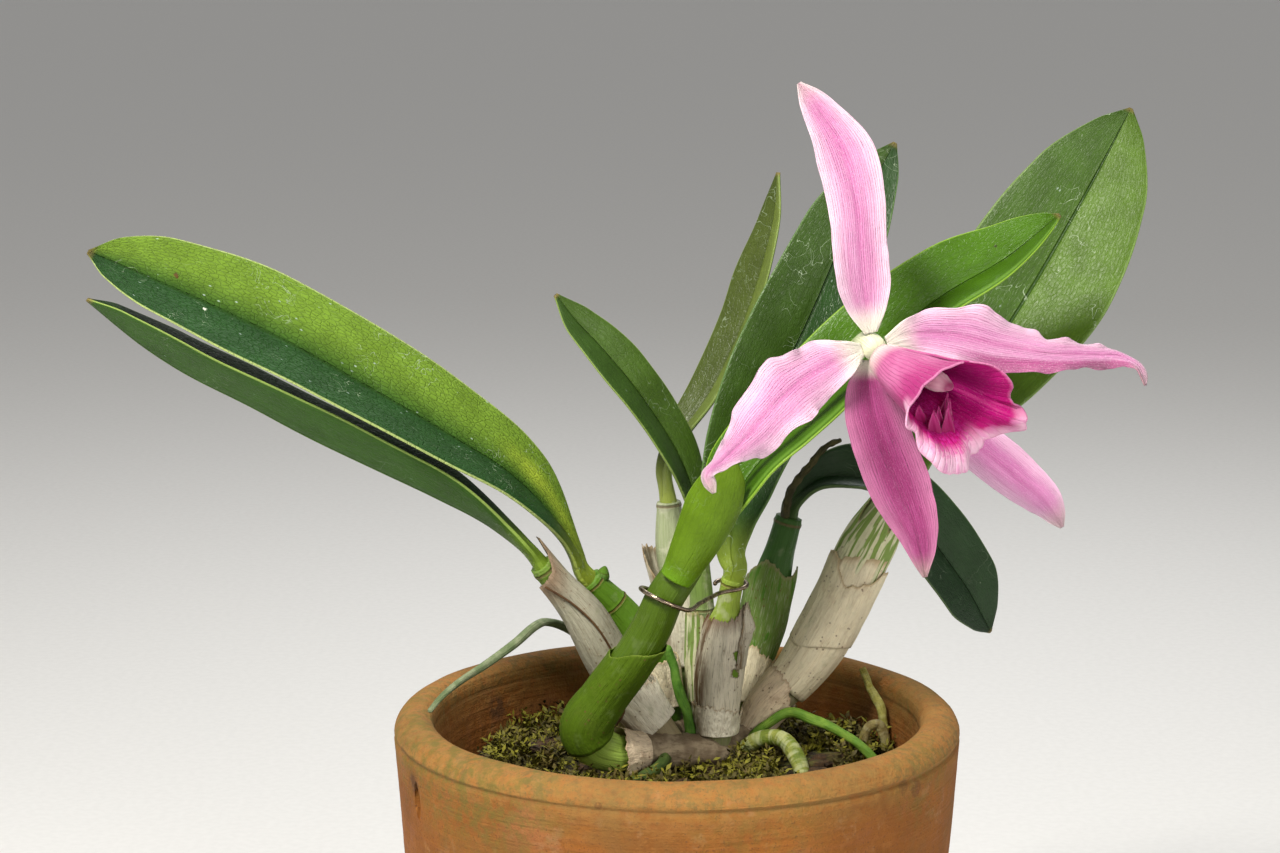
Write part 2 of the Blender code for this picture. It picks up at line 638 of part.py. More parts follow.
# The flower's tepals: each has its path, widths, facing, ripple and curl
TEPALS = {
    "dorsal_sepal": {
        "path": [(48.0, -30, 105.2), (46.5, -29.3, 113), (45, -29, 126), (44, -28, 138), (40.5, -26, 151),
                 (35, -24, 160), (29.8, -22, 167)],
        "widths": [(0, 3.4), (0.1, 11), (0.2, 14.5), (0.4, 14.5), (0.65, 15.5), (0.8, 11.5), (0.92, 7),
                   (1, 1.2)],
        "facing": [(0, (0.2, -0.95, 0)), (1, (0.1, -0.95, 0))],
        "ripple": (0.8, 1.5, 0.0),
        "curl": [(0, 30), (0.5, 15), (1, 30)],
    },
    "petal_left": {
        "path": [(45.6, -31.5, 101.2), (38.5, -35.7, 98.7), (29, -41, 94), (21.5, -47, 87.5), (15, -52, 81.5),
                 (10, -56, 77.5), (6, -57, 74)],
        "widths": [(0, 3.4), (0.1, 9.5), (0.35, 17), (0.6, 15), (0.8, 8.5), (0.93, 6), (1, 1.5)],
        "facing": [(0, (0.3, -0.9, 0.2)), (1, (0.1, -0.8, 0.5))],
        "ripple": (2.2, 2.6, 0.5),
        "curl": [(0, 25), (0.5, -15), (1, -60)],
    },
    "petal_right": {
        "path": [(52.0, -30.5, 102.7), (58, -29.5, 104.7), (68, -28, 104.5), (81, -26, 101.5), (94, -24, 99),
                 (105, -23, 98.5), (113, -24, 98), (117, -27, 95)],
        "widths": [(0, 3.4), (0.1, 9), (0.3, 15.5), (0.55, 11.5), (0.75, 7.5), (0.9, 5.5), (1, 1.5)],
        "facing": [(0, (0.3, -0.9, 0.2)), (1, (0.1, -0.8, 0.5))],
        "ripple": (2.0, 2.8, 2.0),
        "curl": [(0, 25), (0.5, -10), (1, -60)],
    },
    "lateral_sepal_left": {
        "path": [(47.1, -29.5, 98.3), (47.6, -31, 90), (50.6, -33, 79), (55.6, -34, 66), (60, -35, 55),
                 (62, -37, 44)],
        "widths": [(0, 3.4), (0.12, 12), (0.3, 16), (0.55, 16.5), (0.75, 12.5), (0.92, 6), (1, 1.2)],
        "facing": [(0, (0.2, -0.95, 0)), (1, (0.2, -0.95, 0.1))],
        "ripple": (0.6, 1.5, 1.0),
        "curl": [(0, 25), (0.5, 18), (1, 30)],
    },
    "lateral_sepal_right": {
        "path": [(50.8, -28.6, 99.2), (57, -26, 93.5), (66, -24, 84), (76, -22, 75), (87, -21, 66),
                 (94, -22, 60), (98, -24, 54)],
        "widths": [(0, 3.4), (0.12, 10), (0.35, 13), (0.65, 13), (0.85, 10.5), (0.95, 6), (1, 1.2)],
        "facing": [(0, (0.2, -0.95, 0)), (1, (0.1, -0.9, 0.3))],
        "ripple": (0.6, 1.5, 2.0),
        "curl": [(0, 25), (0.5, 18), (1, 30)],
    },
}

# The lip: its axis, and its radius from base to margin. Then, for the parts of its margin from -1 to 1, with
# 0 at the bottom: how much further than the axis each reaches, how far in millimetres it stands out, and how
# strongly it bulges forward before it
LIP_AXIS = [(50.6, -34.8, 99.6), (56, -42, 96.6), (62.5, -50, 93.6), (69.5, -58, 90.4)]
LIP_RADII = [(0, 3.6), (0.25, 5.6), (0.6, 8.2), (0.8, 9.4), (1, 11)]
LIP_REACH = [(-1, -0.11), (-0.8, -0.16), (-0.55, -0.22), (-0.4, -0.18), (-0.25, -0.12), (-0.15, -0.02),
             (0, 0), (0.25, -0.08), (0.38, 0.12), (0.5, 0.23), (0.58, 0.14), (0.74, 0.12), (0.84, 0.04),
             (1, -0.11)]
LIP_LOBES = [(-1, 0.8), (-0.8, 1), (-0.55, 1), (-0.4, 3.5), (-0.33, 1.4), (-0.15, 3), (0, 4.5), (0.18, 5.5),
             (0.25, 5), (0.34, 6.5), (0.5, 3.5), (0.58, 1.5), (0.84, 2), (1, 0.8)]
LIP_BENDS = [(-1, 0), (-0.5, 0), (-0.35, 0.2), (0, 0.28), (0.45, 0.2), (0.6, 0), (1, 0)]
LIP_WRAP = radians(166)
LIP_FRILLS = 11
LIP_FRILL_HEIGHT = 0.7

# The column, the peduncle and last year's dried stalk, in millimetres
COLUMN = [(50.0, -34.6, 101.0), (54, -39.5, 99.4), (59.5, -46, 97.6), (66.2, -53.5, 95.2)]
COLUMN_RADII = [(0, 1.2), (0.25, 1.7), (0.5, 2.3), (0.88, 3.0), (1, 2.1)]
PEDUNCLE_START = (-2.2, -2.2, 1.2)
PEDUNCLE = [(5, -18.6, 55), (13, -19, 68), (25, -18.5, 81), (36, -16.5, 90), (43, -16.5, 97),
            (46.5, -21.5, 101), (47.6, -26.5, 101.8), (48.6, -30.5, 101.7), (49.7, -33.9, 100.8)]
PEDUNCLE_RADII = [(0, 1.3), (0.5, 1.4), (0.72, 1.8), (0.84, 2.5), (0.92, 3.2), (0.97, 3.1), (1, 2.3)]
DEAD_STALK = [(30.0, 36.4, 43.6), (31.3, 34.5, 51), (37, 34, 59), (41, 33, 64), (45, 32, 66)]
DEAD_STALK_RADII = [(0, 1.1), (0.6, 0.9), (1, 0.6)]

# The bract in front of the new growth's leaf base
BRACT = [(-0.8, -21.6, 39), (3.5, -23, 47), (8.5, -24, 58), (12, -24, 67), (13.5, -23.4, 71.5)]
BRACT_WIDTHS = [(0, 10), (0.3, 14), (0.6, 16), (0.85, 12), (0.96, 6), (1, 2)]
BRACT_THICKNESS = 0.0011

# The wire clip: a loop round the new growth, a bridge, and a loop behind the middle growth's neck. A loop
# has its centre, radius, first and last angle and its rise along x and y
WIRE_RADIUS = 0.6
WIRE_STEP = 30
FRONT_LOOP = ((-3.2, -15, 33.0), 6.4, (120, 330), (-0.45, -0.1))
BRIDGE = [(6, -11, 31.0), (8.5, -5, 30.8), (12, 1.5, 30.8)]
NECK_LOOP = ((14.4, 8.8, 31.2), 4.3, (-60, 180), (0, 0.1))


def points_at(places):
    return [at(*place) for place in places]


def make_growth(name, growth, parts, bed):
    """A growth's stem, seated on the rhizome, and its leaf. It returns the stem's path."""
    stem_path = Path(points_at(growth["stem"]))
    stem = as_mesh(tube(f"pseudobulb_{name}", stem_path, growth["radii"], STEM_MESH, parts))
    stem.data.materials.append(material_of(f"stem_{name}", growth["stem_colour"], 0.45))
    carve(stem, [bed])
    top, upward = stem_path.point(1.0), stem_path.tangent(1.0)
    leaf_path = Path([top + upward * SEAT_GAP, top + upward * PETIOLE_RUN, *points_at(growth["leaf"])])
    blade(
        f"leaf_{name}", leaf_path, growth["widths"], growth["facing"], parts,
        material_of(f"leaf_{name}", growth["leaf_colour"], 0.38), LEAF_CELLS, LEAF_THICKNESS, LEAF_WEIGHTS,
        fold=growth["fold"],
    )
    return stem_path


def make_rhizome(parts, cutters):
    """The creeping stem, and the wider copy of it that clears its seats."""
    lengths = []
    beds = []
    for index, places in enumerate(RHIZOMES):
        path = Path(points_at(places))
        length = tube(f"rhizome_{index}", path, RHIZOME_RADII, RHIZOME_MESH, parts)
        bed = tube(f"rhizome_bed_{index}", path, RHIZOME_RADII, RHIZOME_MESH, cutters, swell=GAP)
        lengths.append(as_mesh(length))
        beds.append(as_mesh(bed))
    for first, second in (lengths, beds):
        union = first.modifiers.new("join", "BOOLEAN")
        union.operation = "UNION"
        union.object = second
        union.solver = "EXACT"
        carve(first, [])
        bpy.data.objects.remove(second)
    rhizome, bed = lengths[0], beds[0]
    rhizome.name = "rhizome"
    rhizome.data.materials.append(material_of("rhizome", (0.20, 0.14, 0.07), 0.8))
    return bed


def make_roots(parts, cutters, bed):
    """The roots. It returns the wider copies of those that run down into the mix."""
    beds = []
    for name, (places, radii, colour) in ROOTS.items():
        path = Path(points_at(places))
        root = as_mesh(tube(name, path, radii, LONG_ROOT_MESH if name in AERIAL_ROOTS else ROOT_MESH, parts))
        root.data.materials.append(material_of(name, colour, 0.6))
        if name in RHIZOME_ROOTS:
            carve(root, [bed])
        if name in BURIED_ROOTS:
            deeper = Path(points_at([*places, sunk(places)]))
            beds.append(as_mesh(tube(f"{name}_bed", deeper, radii, ROOT_MESH, cutters, swell=2 * GAP)))
    return beds


def sunk(places):
    """A place a little past the end of a root, so that its bed runs clear of the end."""
    (x1, y1, z1), (x2, y2, z2) = places[-2:]
    return (x2 + (x2 - x1) * 0.15, y2 + (y2 - y1) * 0.15, z2 + (z2 - z1) * 0.15)


def make_bract(parts):
    """The green bract that stands in front of the new growth's leaf base."""
    blade(
        "bract", Path(points_at(BRACT)), BRACT_WIDTHS, [(0, (0, 1, 0)), (1, (0, 1, 0.1))], parts,
        material_of("bract", (0.12, 0.24, 0.02), 0.4), BRACT_CELLS, BRACT_THICKNESS, [(0, 1), (1, 0.7)],
        curl=[(0, 60), (0.5, 50), (1, 30)],
    )


def make_flower(parts, stem_path):
    """Flower stalk with its ovary, five tepals, the lip and the column."""
    start = stem_path.point(1.0) + stem_path.tangent(1.0) * GAP + Vector(PEDUNCLE_START) * MM
    tube(
        "peduncle", Path([start, *points_at(PEDUNCLE)]), PEDUNCLE_RADII, STALK_MESH, parts,
        material_of("peduncle", (0.30, 0.42, 0.12), 0.45),
    )
    for name, tepal in TEPALS.items():
        blade(
            name, Path(points_at(tepal["path"])), tepal["widths"], tepal["facing"], parts,
            material_of(name, PINK, 0.55), TEPAL_CELLS, PETAL_THICKNESS, [(0, 1.6), (0.15, 1.0), (1, 0.75)],
            curl=tepal["curl"], ripple=tepal["ripple"],
        )
    make_lip(parts)
    tube(
        "column", Path(points_at(COLUMN)), COLUMN_RADII, COLUMN_MESH, parts,
        material_of("column", (0.86, 0.62, 0.74), 0.45),
    )


def make_lip(parts):
    """A rolled tube that opens into a frilled mouth, with its middle lobe at the bottom."""
    axis = Path(points_at(LIP_AXIS))

    def place_of(u, v):
        share = v * (1 + float(along(LIP_REACH, u))) + float(along(LIP_BENDS, u)) * 4 * v ** 3 * (1 - v)
        _, down, side = axis.frame(min(share, 1.0), Vector((0, 0, -1)))
        angle = u * LIP_WRAP
        frill = LIP_FRILL_HEIGHT * v ** 5 * sin(LIP_FRILLS * pi * u)
        radius = (float(along(LIP_RADII, v)) + frill + v ** 6 * float(along(LIP_LOBES, u))) * MM
        return axis.point(share) + (down * cos(angle) + side * sin(angle)) * radius

    sheet(
        "lip", place_of, LIP_CELLS, PETAL_THICKNESS, lambda u, v: 1.0, parts,
        material_of("lip", MAGENTA, 0.5),
    )


def loop(centre, radius, span, rise):
    """Places on a circle, from the first angle of span to the last, raised along x and y."""
    places = []
    for angle in range(span[0], span[1] + 1, WIRE_STEP):
        turn = radians(angle)
        lift = rise[0] * cos(turn) + rise[1] * sin(turn)
        places.append(Vector(centre) + Vector((cos(turn), sin(turn), lift)) * radius)
    return places


def make_clip(parts):
    """The bent wire that holds the new growth to the middle one."""
    path = Path(points_at([*loop(*FRONT_LOOP), *BRIDGE, *loop(*NECK_LOOP)]))
    tube(
        "wire_clip", path, [(0, WIRE_RADIUS), (1, WIRE_RADIUS)], WIRE_MESH, parts,
        material_of("wire", (0.35, 0.28, 0.20), 0.3, 1.0),
    )


def make_dead_stalk(parts):
    """Last year's dried flower stalk, on the rear right growth."""
    tube(
        "dead_flower_stalk", Path(points_at(DEAD_STALK)), DEAD_STALK_RADII, DEAD_STALK_MESH, parts,
        material_of("dead_stalk", (0.22, 0.16, 0.07), 0.8),
    )


def main():
    for obj in list(bpy.data.objects):
        bpy.data.objects.remove(obj)
    parts = new_collection("potted_cattleya_orchid")
    cutters = new_collection("cutters", hidden=True)
    make_pot(parts, cutters)
    bed = make_rhizome(parts, cutters)
    stems = {name: make_growth(name, growth, parts, bed) for name, growth in GROWTHS.items()}
    for name, shape in SLEEVES.items():
        sleeve(f"sheath_{name}", stems[name], GROWTHS[name]["radii"], shape, parts)
    root_beds = make_roots(parts, cutters, bed)
    make_mix(parts, [bed, *root_beds])
    make_bract(parts)
    make_flower(parts, stems["front"])
    make_clip(parts)
    make_dead_stalk(parts)


main()
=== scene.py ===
from math import cos, pi, radians, sin

import bmesh
import bpy
import numpy as np
from mathutils import Matrix, Vector, noise


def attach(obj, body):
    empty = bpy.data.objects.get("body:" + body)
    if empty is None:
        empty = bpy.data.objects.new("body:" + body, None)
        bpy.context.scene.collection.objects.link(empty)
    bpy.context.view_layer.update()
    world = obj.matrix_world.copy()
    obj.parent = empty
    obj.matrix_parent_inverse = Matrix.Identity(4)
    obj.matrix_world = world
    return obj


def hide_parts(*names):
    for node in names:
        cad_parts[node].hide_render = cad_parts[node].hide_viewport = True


# The looks of a potted cattleya-type orchid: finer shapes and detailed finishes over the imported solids.
# Metres, +Z up, the same frame as the solids. Places on the plant are given in millimetres from the centre
# of the pot's rim, by the function at(). The shapes follow the same named values as the solids do.

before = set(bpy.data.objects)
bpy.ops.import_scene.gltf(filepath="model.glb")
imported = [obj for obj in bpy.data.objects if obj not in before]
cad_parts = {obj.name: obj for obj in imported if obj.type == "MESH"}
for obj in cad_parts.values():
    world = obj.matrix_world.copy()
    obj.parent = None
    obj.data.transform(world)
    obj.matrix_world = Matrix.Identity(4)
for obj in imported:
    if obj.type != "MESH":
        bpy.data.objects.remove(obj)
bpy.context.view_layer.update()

MM = 0.001
SEED = 7

# The pot, in metres
POT_HEIGHT = 0.139
POT_RADIUS = 0.075
POT_BASE_RADIUS = 0.065
WALL = 0.0105
FLOOR = 0.012
RIM_ROUNDING = 0.0065
HOLE_RADIUS = 0.006
HOLE_RING = 0.034
HOLES = 3
FOOT_ROUNDING = 0.002
RIM_HEIGHT = 0.0054
GROOVE_DEPTH = 0.0005
GROOVE_DROP = 0.0003
GROOVE_WIDTH = 0.0006
GROOVE_RUN = 0.0014
SLOT_PLACE = (-66.4, -32, -16)
SLOT_SIZE = (0.0028, 0.0019, 0.0052)
SLOT_TURN = radians(25)

# Clearances, the thicknesses of sheets, and how far a leaf's foot sinks into its stem and runs straight on
# above it, in metres. A leaf's thickness changes along its length by the factors of LEAF_WEIGHTS
GAP = 0.0003
SHEATH_GAP = 0.0006
SHEATH_THICKNESS = 0.0004
PETAL_THICKNESS = 0.0008
LEAF_THICKNESS = 0.0032
LEAF_SINK = 0.001
PETIOLE_RUN = 0.0035
LEAF_WEIGHTS = [(0, 1.5), (0.03, 1.15), (0.06, 0.9), (0.18, 0.6), (0.7, 0.45), (1, 0.28)]

# Potting mix: its level under the rim, and mossy mounds as (x, y, height, spread) in millimetres
MIX_LEVEL = -20.5
MOUNDS = ((-64, -2, -15, 24), (-36, 14, 5, 12), (8, -24, 3.5, 13), (34, 2, 4, 12), (46, 24, 4, 12),
    (-12, 40, 3, 14), (-22, -14, 2, 10))
BUMP_HEIGHT = 1.6
BUMP_SIZE = 7.0

# Cells across and along each kind of blade, rings and sides of each kind of tube, and steps round the pot
LEAF_CELLS = (26, 110)
BRACT_CELLS = (20, 50)
TEPAL_CELLS = (30, 110)
LIP_CELLS = (210, 56)
SHEATH_CELLS = (100, 32)
STEM_MESH = (110, 40)
RHIZOME_MESH = (90, 28)
ROOT_MESH = (120, 20)
STALK_MESH = (150, 20)
COLUMN_MESH = (50, 24)
BUD_MESH = (30, 18)
DEAD_STALK_MESH = (90, 16)
STRAND_MESH = (90, 10)
WIRE_MESH = (260, 12)
POT_STEPS = 288
MIX_STEPS = 240
MIX_RINGS = 90

# A quantity that stays nothing, and margins that follow a blade's widths
FLAT = [(0, 0), (1, 0)]
EVEN_EDGES = ([(0, 1), (1, 1)], [(0, 1), (1, 1)])

# The growths. Each has its stem's path and radii, and its leaf's path, widths, facing and fold.
# Here and below a pair such as (0.3, 4.8) is a share of the length and the value there, in millimetres or
# degrees, and places and widths are in millimetres
GROWTHS = {
    "left_front": dict(
        stem=[(-1, 7, -12), (-8, 7.5, -4), (-17, 7.5, 9), (-26, 6, 25), (-33, 4, 34), (-36, 3, 38)],
        radii=[(0, 3.4), (0.15, 4.6), (0.4, 5.5), (0.65, 5.0), (0.85, 3.6), (1, 3.2)],
        leaf=[(-40, 1, 43), (-48, 0, 49.5), (-62, -3, 58), (-85, -7, 70), (-110, -11, 84), (-132, -15, 97),
            (-150, -19, 112)],
        widths=[(0, 6), (0.08, 9), (0.25, 22), (0.55, 26), (0.8, 26), (0.94, 15), (1, 1.2)],
        facing=[(0, (0.8, 0.0, 0.6)), (0.3, (0.6, 0.1, 0.8)), (1, (0.6, 0.15, 0.8))],
        fold=[(0, 0), (0.1, 25), (0.3, 40), (1, 28)],
    ),
    "left_back": dict(
        stem=[(-2, 21, -12), (-3, 22, -5), (-5, 21.5, 3), (-8, 21, 10), (-15, 18.5, 21), (-21, 16.5, 28),
            (-23.5, 15.5, 31)],
        radii=[(0, 3.4), (0.15, 4.2), (0.4, 5.8), (0.7, 4.6), (0.9, 3.9), (1, 3.6)],
        leaf=[(-27, 14, 37), (-33, 11, 48), (-45, 6, 62), (-60, 1, 73), (-80, -3, 86), (-100, -5, 98),
            (-127, -8, 112), (-151, -10, 123)],
        widths=[(0, 6.5), (0.07, 9), (0.2, 25), (0.45, 36), (0.7, 38), (0.88, 30), (0.96, 17), (1, 1.2)],
        facing=[(0, (0.9, -0.25, 0.3)), (0.25, (0.5, -0.45, 0.7)), (1, (0.4, -0.5, 0.7))],
        fold=[(0, 0), (0.1, 20), (0.25, 18), (1, 12)],
    ),
    "front": dict(
        stem=[(-12, -1, -12.5), (-17, -4.5, -11.5), (-22, -7.5, -8), (-24, -9.5, -3), (-19.5, -10.5, 5),
            (-13.2, -12, 14), (-7.2, -13, 24), (-3, -15, 34), (2, -15, 42), (4, -15, 46)],
        radii=[(0, 4.4), (0.1, 5.3), (0.2, 6.1), (0.28, 5.9), (0.42, 5.3), (0.6, 5.2), (0.9, 4.8),
            (1, 4.6)],
        leaf=[(10, -13.5, 53), (21, -9, 67), (37, -4, 82), (52, 1, 96), (70, 5, 109.5), (86, 8, 119),
            (100, 10, 130)],
        widths=[(0, 6.5), (0.05, 10), (0.2, 25), (0.5, 29), (0.75, 26), (0.9, 17), (0.97, 8), (1, 1.2)],
        facing=[(0, (-0.7, -0.5, 0.5)), (0.3, (-0.42, -0.69, 0.6)), (1, (-0.42, -0.69, 0.6))],
        fold=[(0, 0), (0.1, 25), (0.25, 33), (1, 30)],
    ),
    "middle": dict(
        stem=[(11, 11, -15), (11, 11, -6), (11.5, 11, 7), (13, 10, 20), (14, 9, 27), (15, 8, 33)],
        radii=[(0, 3.4), (0.15, 4.5), (0.45, 5.7), (0.7, 5.0), (0.84, 3.2), (1, 2.9)],
        leaf=[(15, 8.5, 38), (15, 11, 46), (19, 18, 64), (27, 24, 82), (36.5, 30, 101), (47.5, 36, 125),
            (59, 40, 146)],
        widths=[(0, 5.4), (0.06, 8), (0.2, 22), (0.5, 31), (0.78, 25), (0.93, 13), (1, 1.2)],
        facing=[(0, (-0.3, -0.9, 0.2)), (0.3, (-0.1, -0.9, 0.35)), (1, (-0.2, -0.9, 0.3))],
        fold=[(0, 0), (0.1, 25), (0.25, 26), (1, 18)],
    ),
    "centre_back": dict(
        stem=[(7, 24, -12), (7, 25, -6), (7, 25, 6), (7, 25, 23), (6, 24, 36), (6, 23, 42)],
        radii=[(0, 2.6), (0.3, 3.5), (0.7, 3.2), (1, 2.6)],
        leaf=[(5, 21, 50), (2, 19, 60), (-4.5, 17, 73), (-12.5, 14, 85), (-20.5, 12, 95), (-28, 11, 103.5),
            (-32, 10, 109)],
        widths=[(0, 4.6), (0.1, 7), (0.35, 14), (0.65, 15), (0.88, 10), (1, 1.2)],
        facing=[(0, (0.5, -0.6, 0.4)), (1, (0.35, -0.8, 0.45))], fold=[(0, 0), (0.12, 20), (1, 15)],
    ),
    "rear": dict(
        stem=[(3, 36, -12), (3, 36, -4), (3, 36, 8), (2, 36, 21), (-1, 36, 36), (-2, 36, 48)],
        radii=[(0, 3.4), (0.15, 4.4), (0.45, 5.8), (0.75, 4.8), (1, 3.1)],
        leaf=[(-2.5, 36, 56), (1, 37, 65), (9.5, 40, 77), (17, 43, 91), (23, 46, 108), (27, 48, 125),
            (28, 49, 137)],
        widths=[(0, 5.4), (0.1, 7), (0.35, 16), (0.65, 18), (0.88, 10), (1, 1.2)],
        facing=[(0, (-0.8, -0.5, 0.3)), (1, (-0.8, -0.5, 0.3))], fold=[(0, 0), (0.12, 25), (1, 20)],
    ),
    "rear_right": dict(
        stem=[(19, 36, -12), (20, 36, -4), (22, 37, 5), (24.5, 38, 15), (27, 39, 27), (30, 39, 38),
            (31.3, 39, 43)],
        radii=[(0, 3.2), (0.2, 4.0), (0.45, 5.6), (0.65, 5.4), (0.85, 3.9), (1, 3.6)],
        leaf=[(33.5, 39.5, 48), (39, 40, 52.5), (48, 42, 53), (60, 47, 46), (71, 53, 34), (81.5, 58, 19.5),
            (90, 64, 4)],
        widths=[(0, 5.0), (0.08, 7), (0.25, 20), (0.55, 24), (0.8, 22), (0.93, 12), (1, 1.2)],
        facing=[(0, (-0.7, -0.7, 0.2)), (0.3, (0.1, -0.6, 0.8)), (0.6, (0.35, -0.85, 0.4)),
            (1, (0.35, -0.85, 0.4))],
        fold=[(0, 0), (0.14, 42), (0.3, 36), (0.6, 20), (1, 15)],
    ),
    "right": dict(
        stem=[(21, 22, -12), (25.5, 21, -5), (32, 21.5, 2), (38.5, 22.5, 11), (44, 24, 21), (51, 26, 36),
            (58.5, 28, 49), (64, 29.5, 57)],
        radii=[(0, 4.0), (0.15, 5.0), (0.4, 6.8), (0.7, 6.8), (0.9, 4.6), (1, 3.4)],
        leaf=[(68, 31, 64), (74, 33, 73), (83.5, 36, 86), (95.5, 41, 104), (109, 47, 126), (118, 51, 142),
            (124.5, 54, 154)],
        widths=[(0, 5.8), (0.07, 9), (0.25, 30), (0.55, 43), (0.8, 33), (0.94, 15), (1, 1.2)],
        facing=[(0, (-0.5, -0.8, 0.3)), (0.3, (-0.2, -0.9, 0.3)), (1, (-0.2, -0.9, 0.3))],
        fold=[(0, 0), (0.08, 20), (0.2, 12), (1, 5)],
    ),
}

# Dry sheaths: the finish, how finely the margin is torn, the shares of the stem they span, the angles between
# which they run, the line of the margin, and how far in millimetres it flares off the stem
SHEATHS = {
    "left_front": dict(
        finish="paper_beige", jag=0.012, span=(0.22, 0.95), slit=(-70, 265),
        margin=[(0, -0.06), (0.3, -0.02), (0.55, 0.02), (0.66, 0.08), (0.76, 0.15), (0.84, 0.15),
            (0.92, 0.02), (1, -0.06)],
    ),
    "middle": dict(
        finish="paper_fibrous", jag=0.06, span=(0.2, 0.76), slit=(-80, 262),
        margin=[(0, -0.08), (0.25, 0.0), (0.5, 0.02), (0.8, 0.1), (0.9, 0.02), (1, -0.05)],
        flare=[(0, 0), (0.7, 0), (0.8, 1.2), (1, 0)],
    ),
    "rear": dict(
        finish="paper_white", jag=0.035, span=(0.24, 0.66), slit=(-60, 280),
        margin=[(0, 0.12), (0.15, 0.14), (0.3, -0.04), (0.6, 0.02), (1, 0.05)],
        flare=[(0, 3.5), (0.15, 3.0), (0.3, 0), (1, 0)],
    ),
    "rear_right": dict(
        finish="paper_clear", jag=0.03, span=(0.22, 0.4), slit=(-70, 270),
        margin=[(0, 0.05), (0.3, -0.05), (0.6, 0.06), (0.8, 0.02), (1, 0.1)],
        flare=[(0, 0.8), (0.5, 0), (1, 0)],
    ),
    "right": dict(
        finish="paper_cream", jag=0.012, span=(0.18, 0.63), slit=(-75, 270),
        margin=[(0, -0.02), (0.25, 0.0), (0.45, 0.05), (0.7, 0.08), (0.85, 0.0), (1, -0.03)],
    ),
}

# The rhizome is two creeping lengths that meet under the left growths
RHIZOME_RADII = [(0, 4.0), (0.3, 4.8), (0.7, 4.8), (1, 5.0)]
RHIZOMES = (
    [(19, 41, -15), (20, 34, -15), (20, 23, -15), (12, 12, -16), (3, 7, -14.5), (-6, 3, -13),
        (-12.5, -1, -12.5)],
    [(3, 42, -15), (4, 34, -15), (6, 27, -15), (-1, 21, -14), (-4, 12, -13), (-3, 4, -13)],
)

# Roots: each has its path, its radii, and its look, which is the main, dark and pale colours and how strongly
# it is ringed
ROOTS = {
    "root_left_aerial": dict(
        path=[(4, 31, -14), (-5, 31, -8), (-16, 30, 3), (-26, 24, 13), (-34.5, 12, 20), (-38, 3, 21),
            (-43, -4, 18), (-50, -9, 14), (-57, -12, 10), (-62, -14, 6), (-65, -15, 2.6)],
        radii=[(0, 1.4), (0.5, 1.2), (0.9, 1.0), (1, 0.7)],
        look=((0.13, 0.18, 0.08), (0.06, 0.09, 0.03), (0.25, 0.29, 0.17), 0.0),
    ),
    "root_green": dict(
        path=[(19, 16, -15), (24.5, 14, -9), (31, 13.5, -5.5), (37, 11.5, -7), (45, 8, -10),
            (52, 3, -14.5), (56, 1, -20)],
        radii=[(0, 1.4), (0.7, 1.3), (1, 1.1)],
        look=((0.1, 0.22, 0.016), (0.06, 0.14, 0.01), (0.18, 0.3, 0.035), 0.0),
    ),
    "root_ringed": dict(
        path=[(17, 11.5, -16), (22, 8, -11.5), (27, 5, -10), (31, -1, -12), (33, -6, -16), (34, -10, -21)],
        radii=[(0, 1.9), (0.5, 2.3), (1, 1.9)],
        look=((0.12, 0.17, 0.016), (0.07, 0.1, 0.01), (0.24, 0.26, 0.05), 0.3),
    ),
    "root_yellow": dict(
        path=[(51.5, 31.5, 2), (53.5, 28.5, -3), (56, 25.5, -7), (57, 23, -14), (57, 22, -19)],
        radii=[(0, 0.9), (0.3, 1.2), (1, 1.3)],
        look=((0.26, 0.24, 0.04), (0.13, 0.11, 0.02), (0.4, 0.38, 0.1), 0.1),
    ),
    "root_curled": dict(
        path=[(51, 15, -21), (51, 16.5, -14), (52.5, 17, -10.5), (55, 17, -10), (56.5, 16, -13),
            (57, 15, -20)],
        radii=[(0, 1.2), (0.5, 1.4), (1, 1.1)],
        look=((0.17, 0.13, 0.04), (0.08, 0.055, 0.018), (0.3, 0.26, 0.09), 0.1),
    ),
    "root_middle": dict(
        path=[(4, 9, -15), (3, 10, -5), (0.5, 10, 2), (-1, 10.5, 9), (-3, 10.5, 14)],
        radii=[(0, 1.5), (0.6, 1.35), (0.95, 1.2), (1, 0.8)],
        look=((0.06, 0.17, 0.012), (0.03, 0.09, 0.008), (0.12, 0.26, 0.03), 0.0),
    ),
    "root_front": dict(
        path=[(-3, 3, -14), (-4, -5, -14.5), (-9, -10, -16.5), (-15, -14, -19), (-20, -17, -23)],
        radii=[(0, 1.7), (0.7, 1.5), (1, 1.3)],
        look=((0.035, 0.065, 0.01), (0.02, 0.035, 0.007), (0.07, 0.11, 0.02), 0.0),
    ),
}

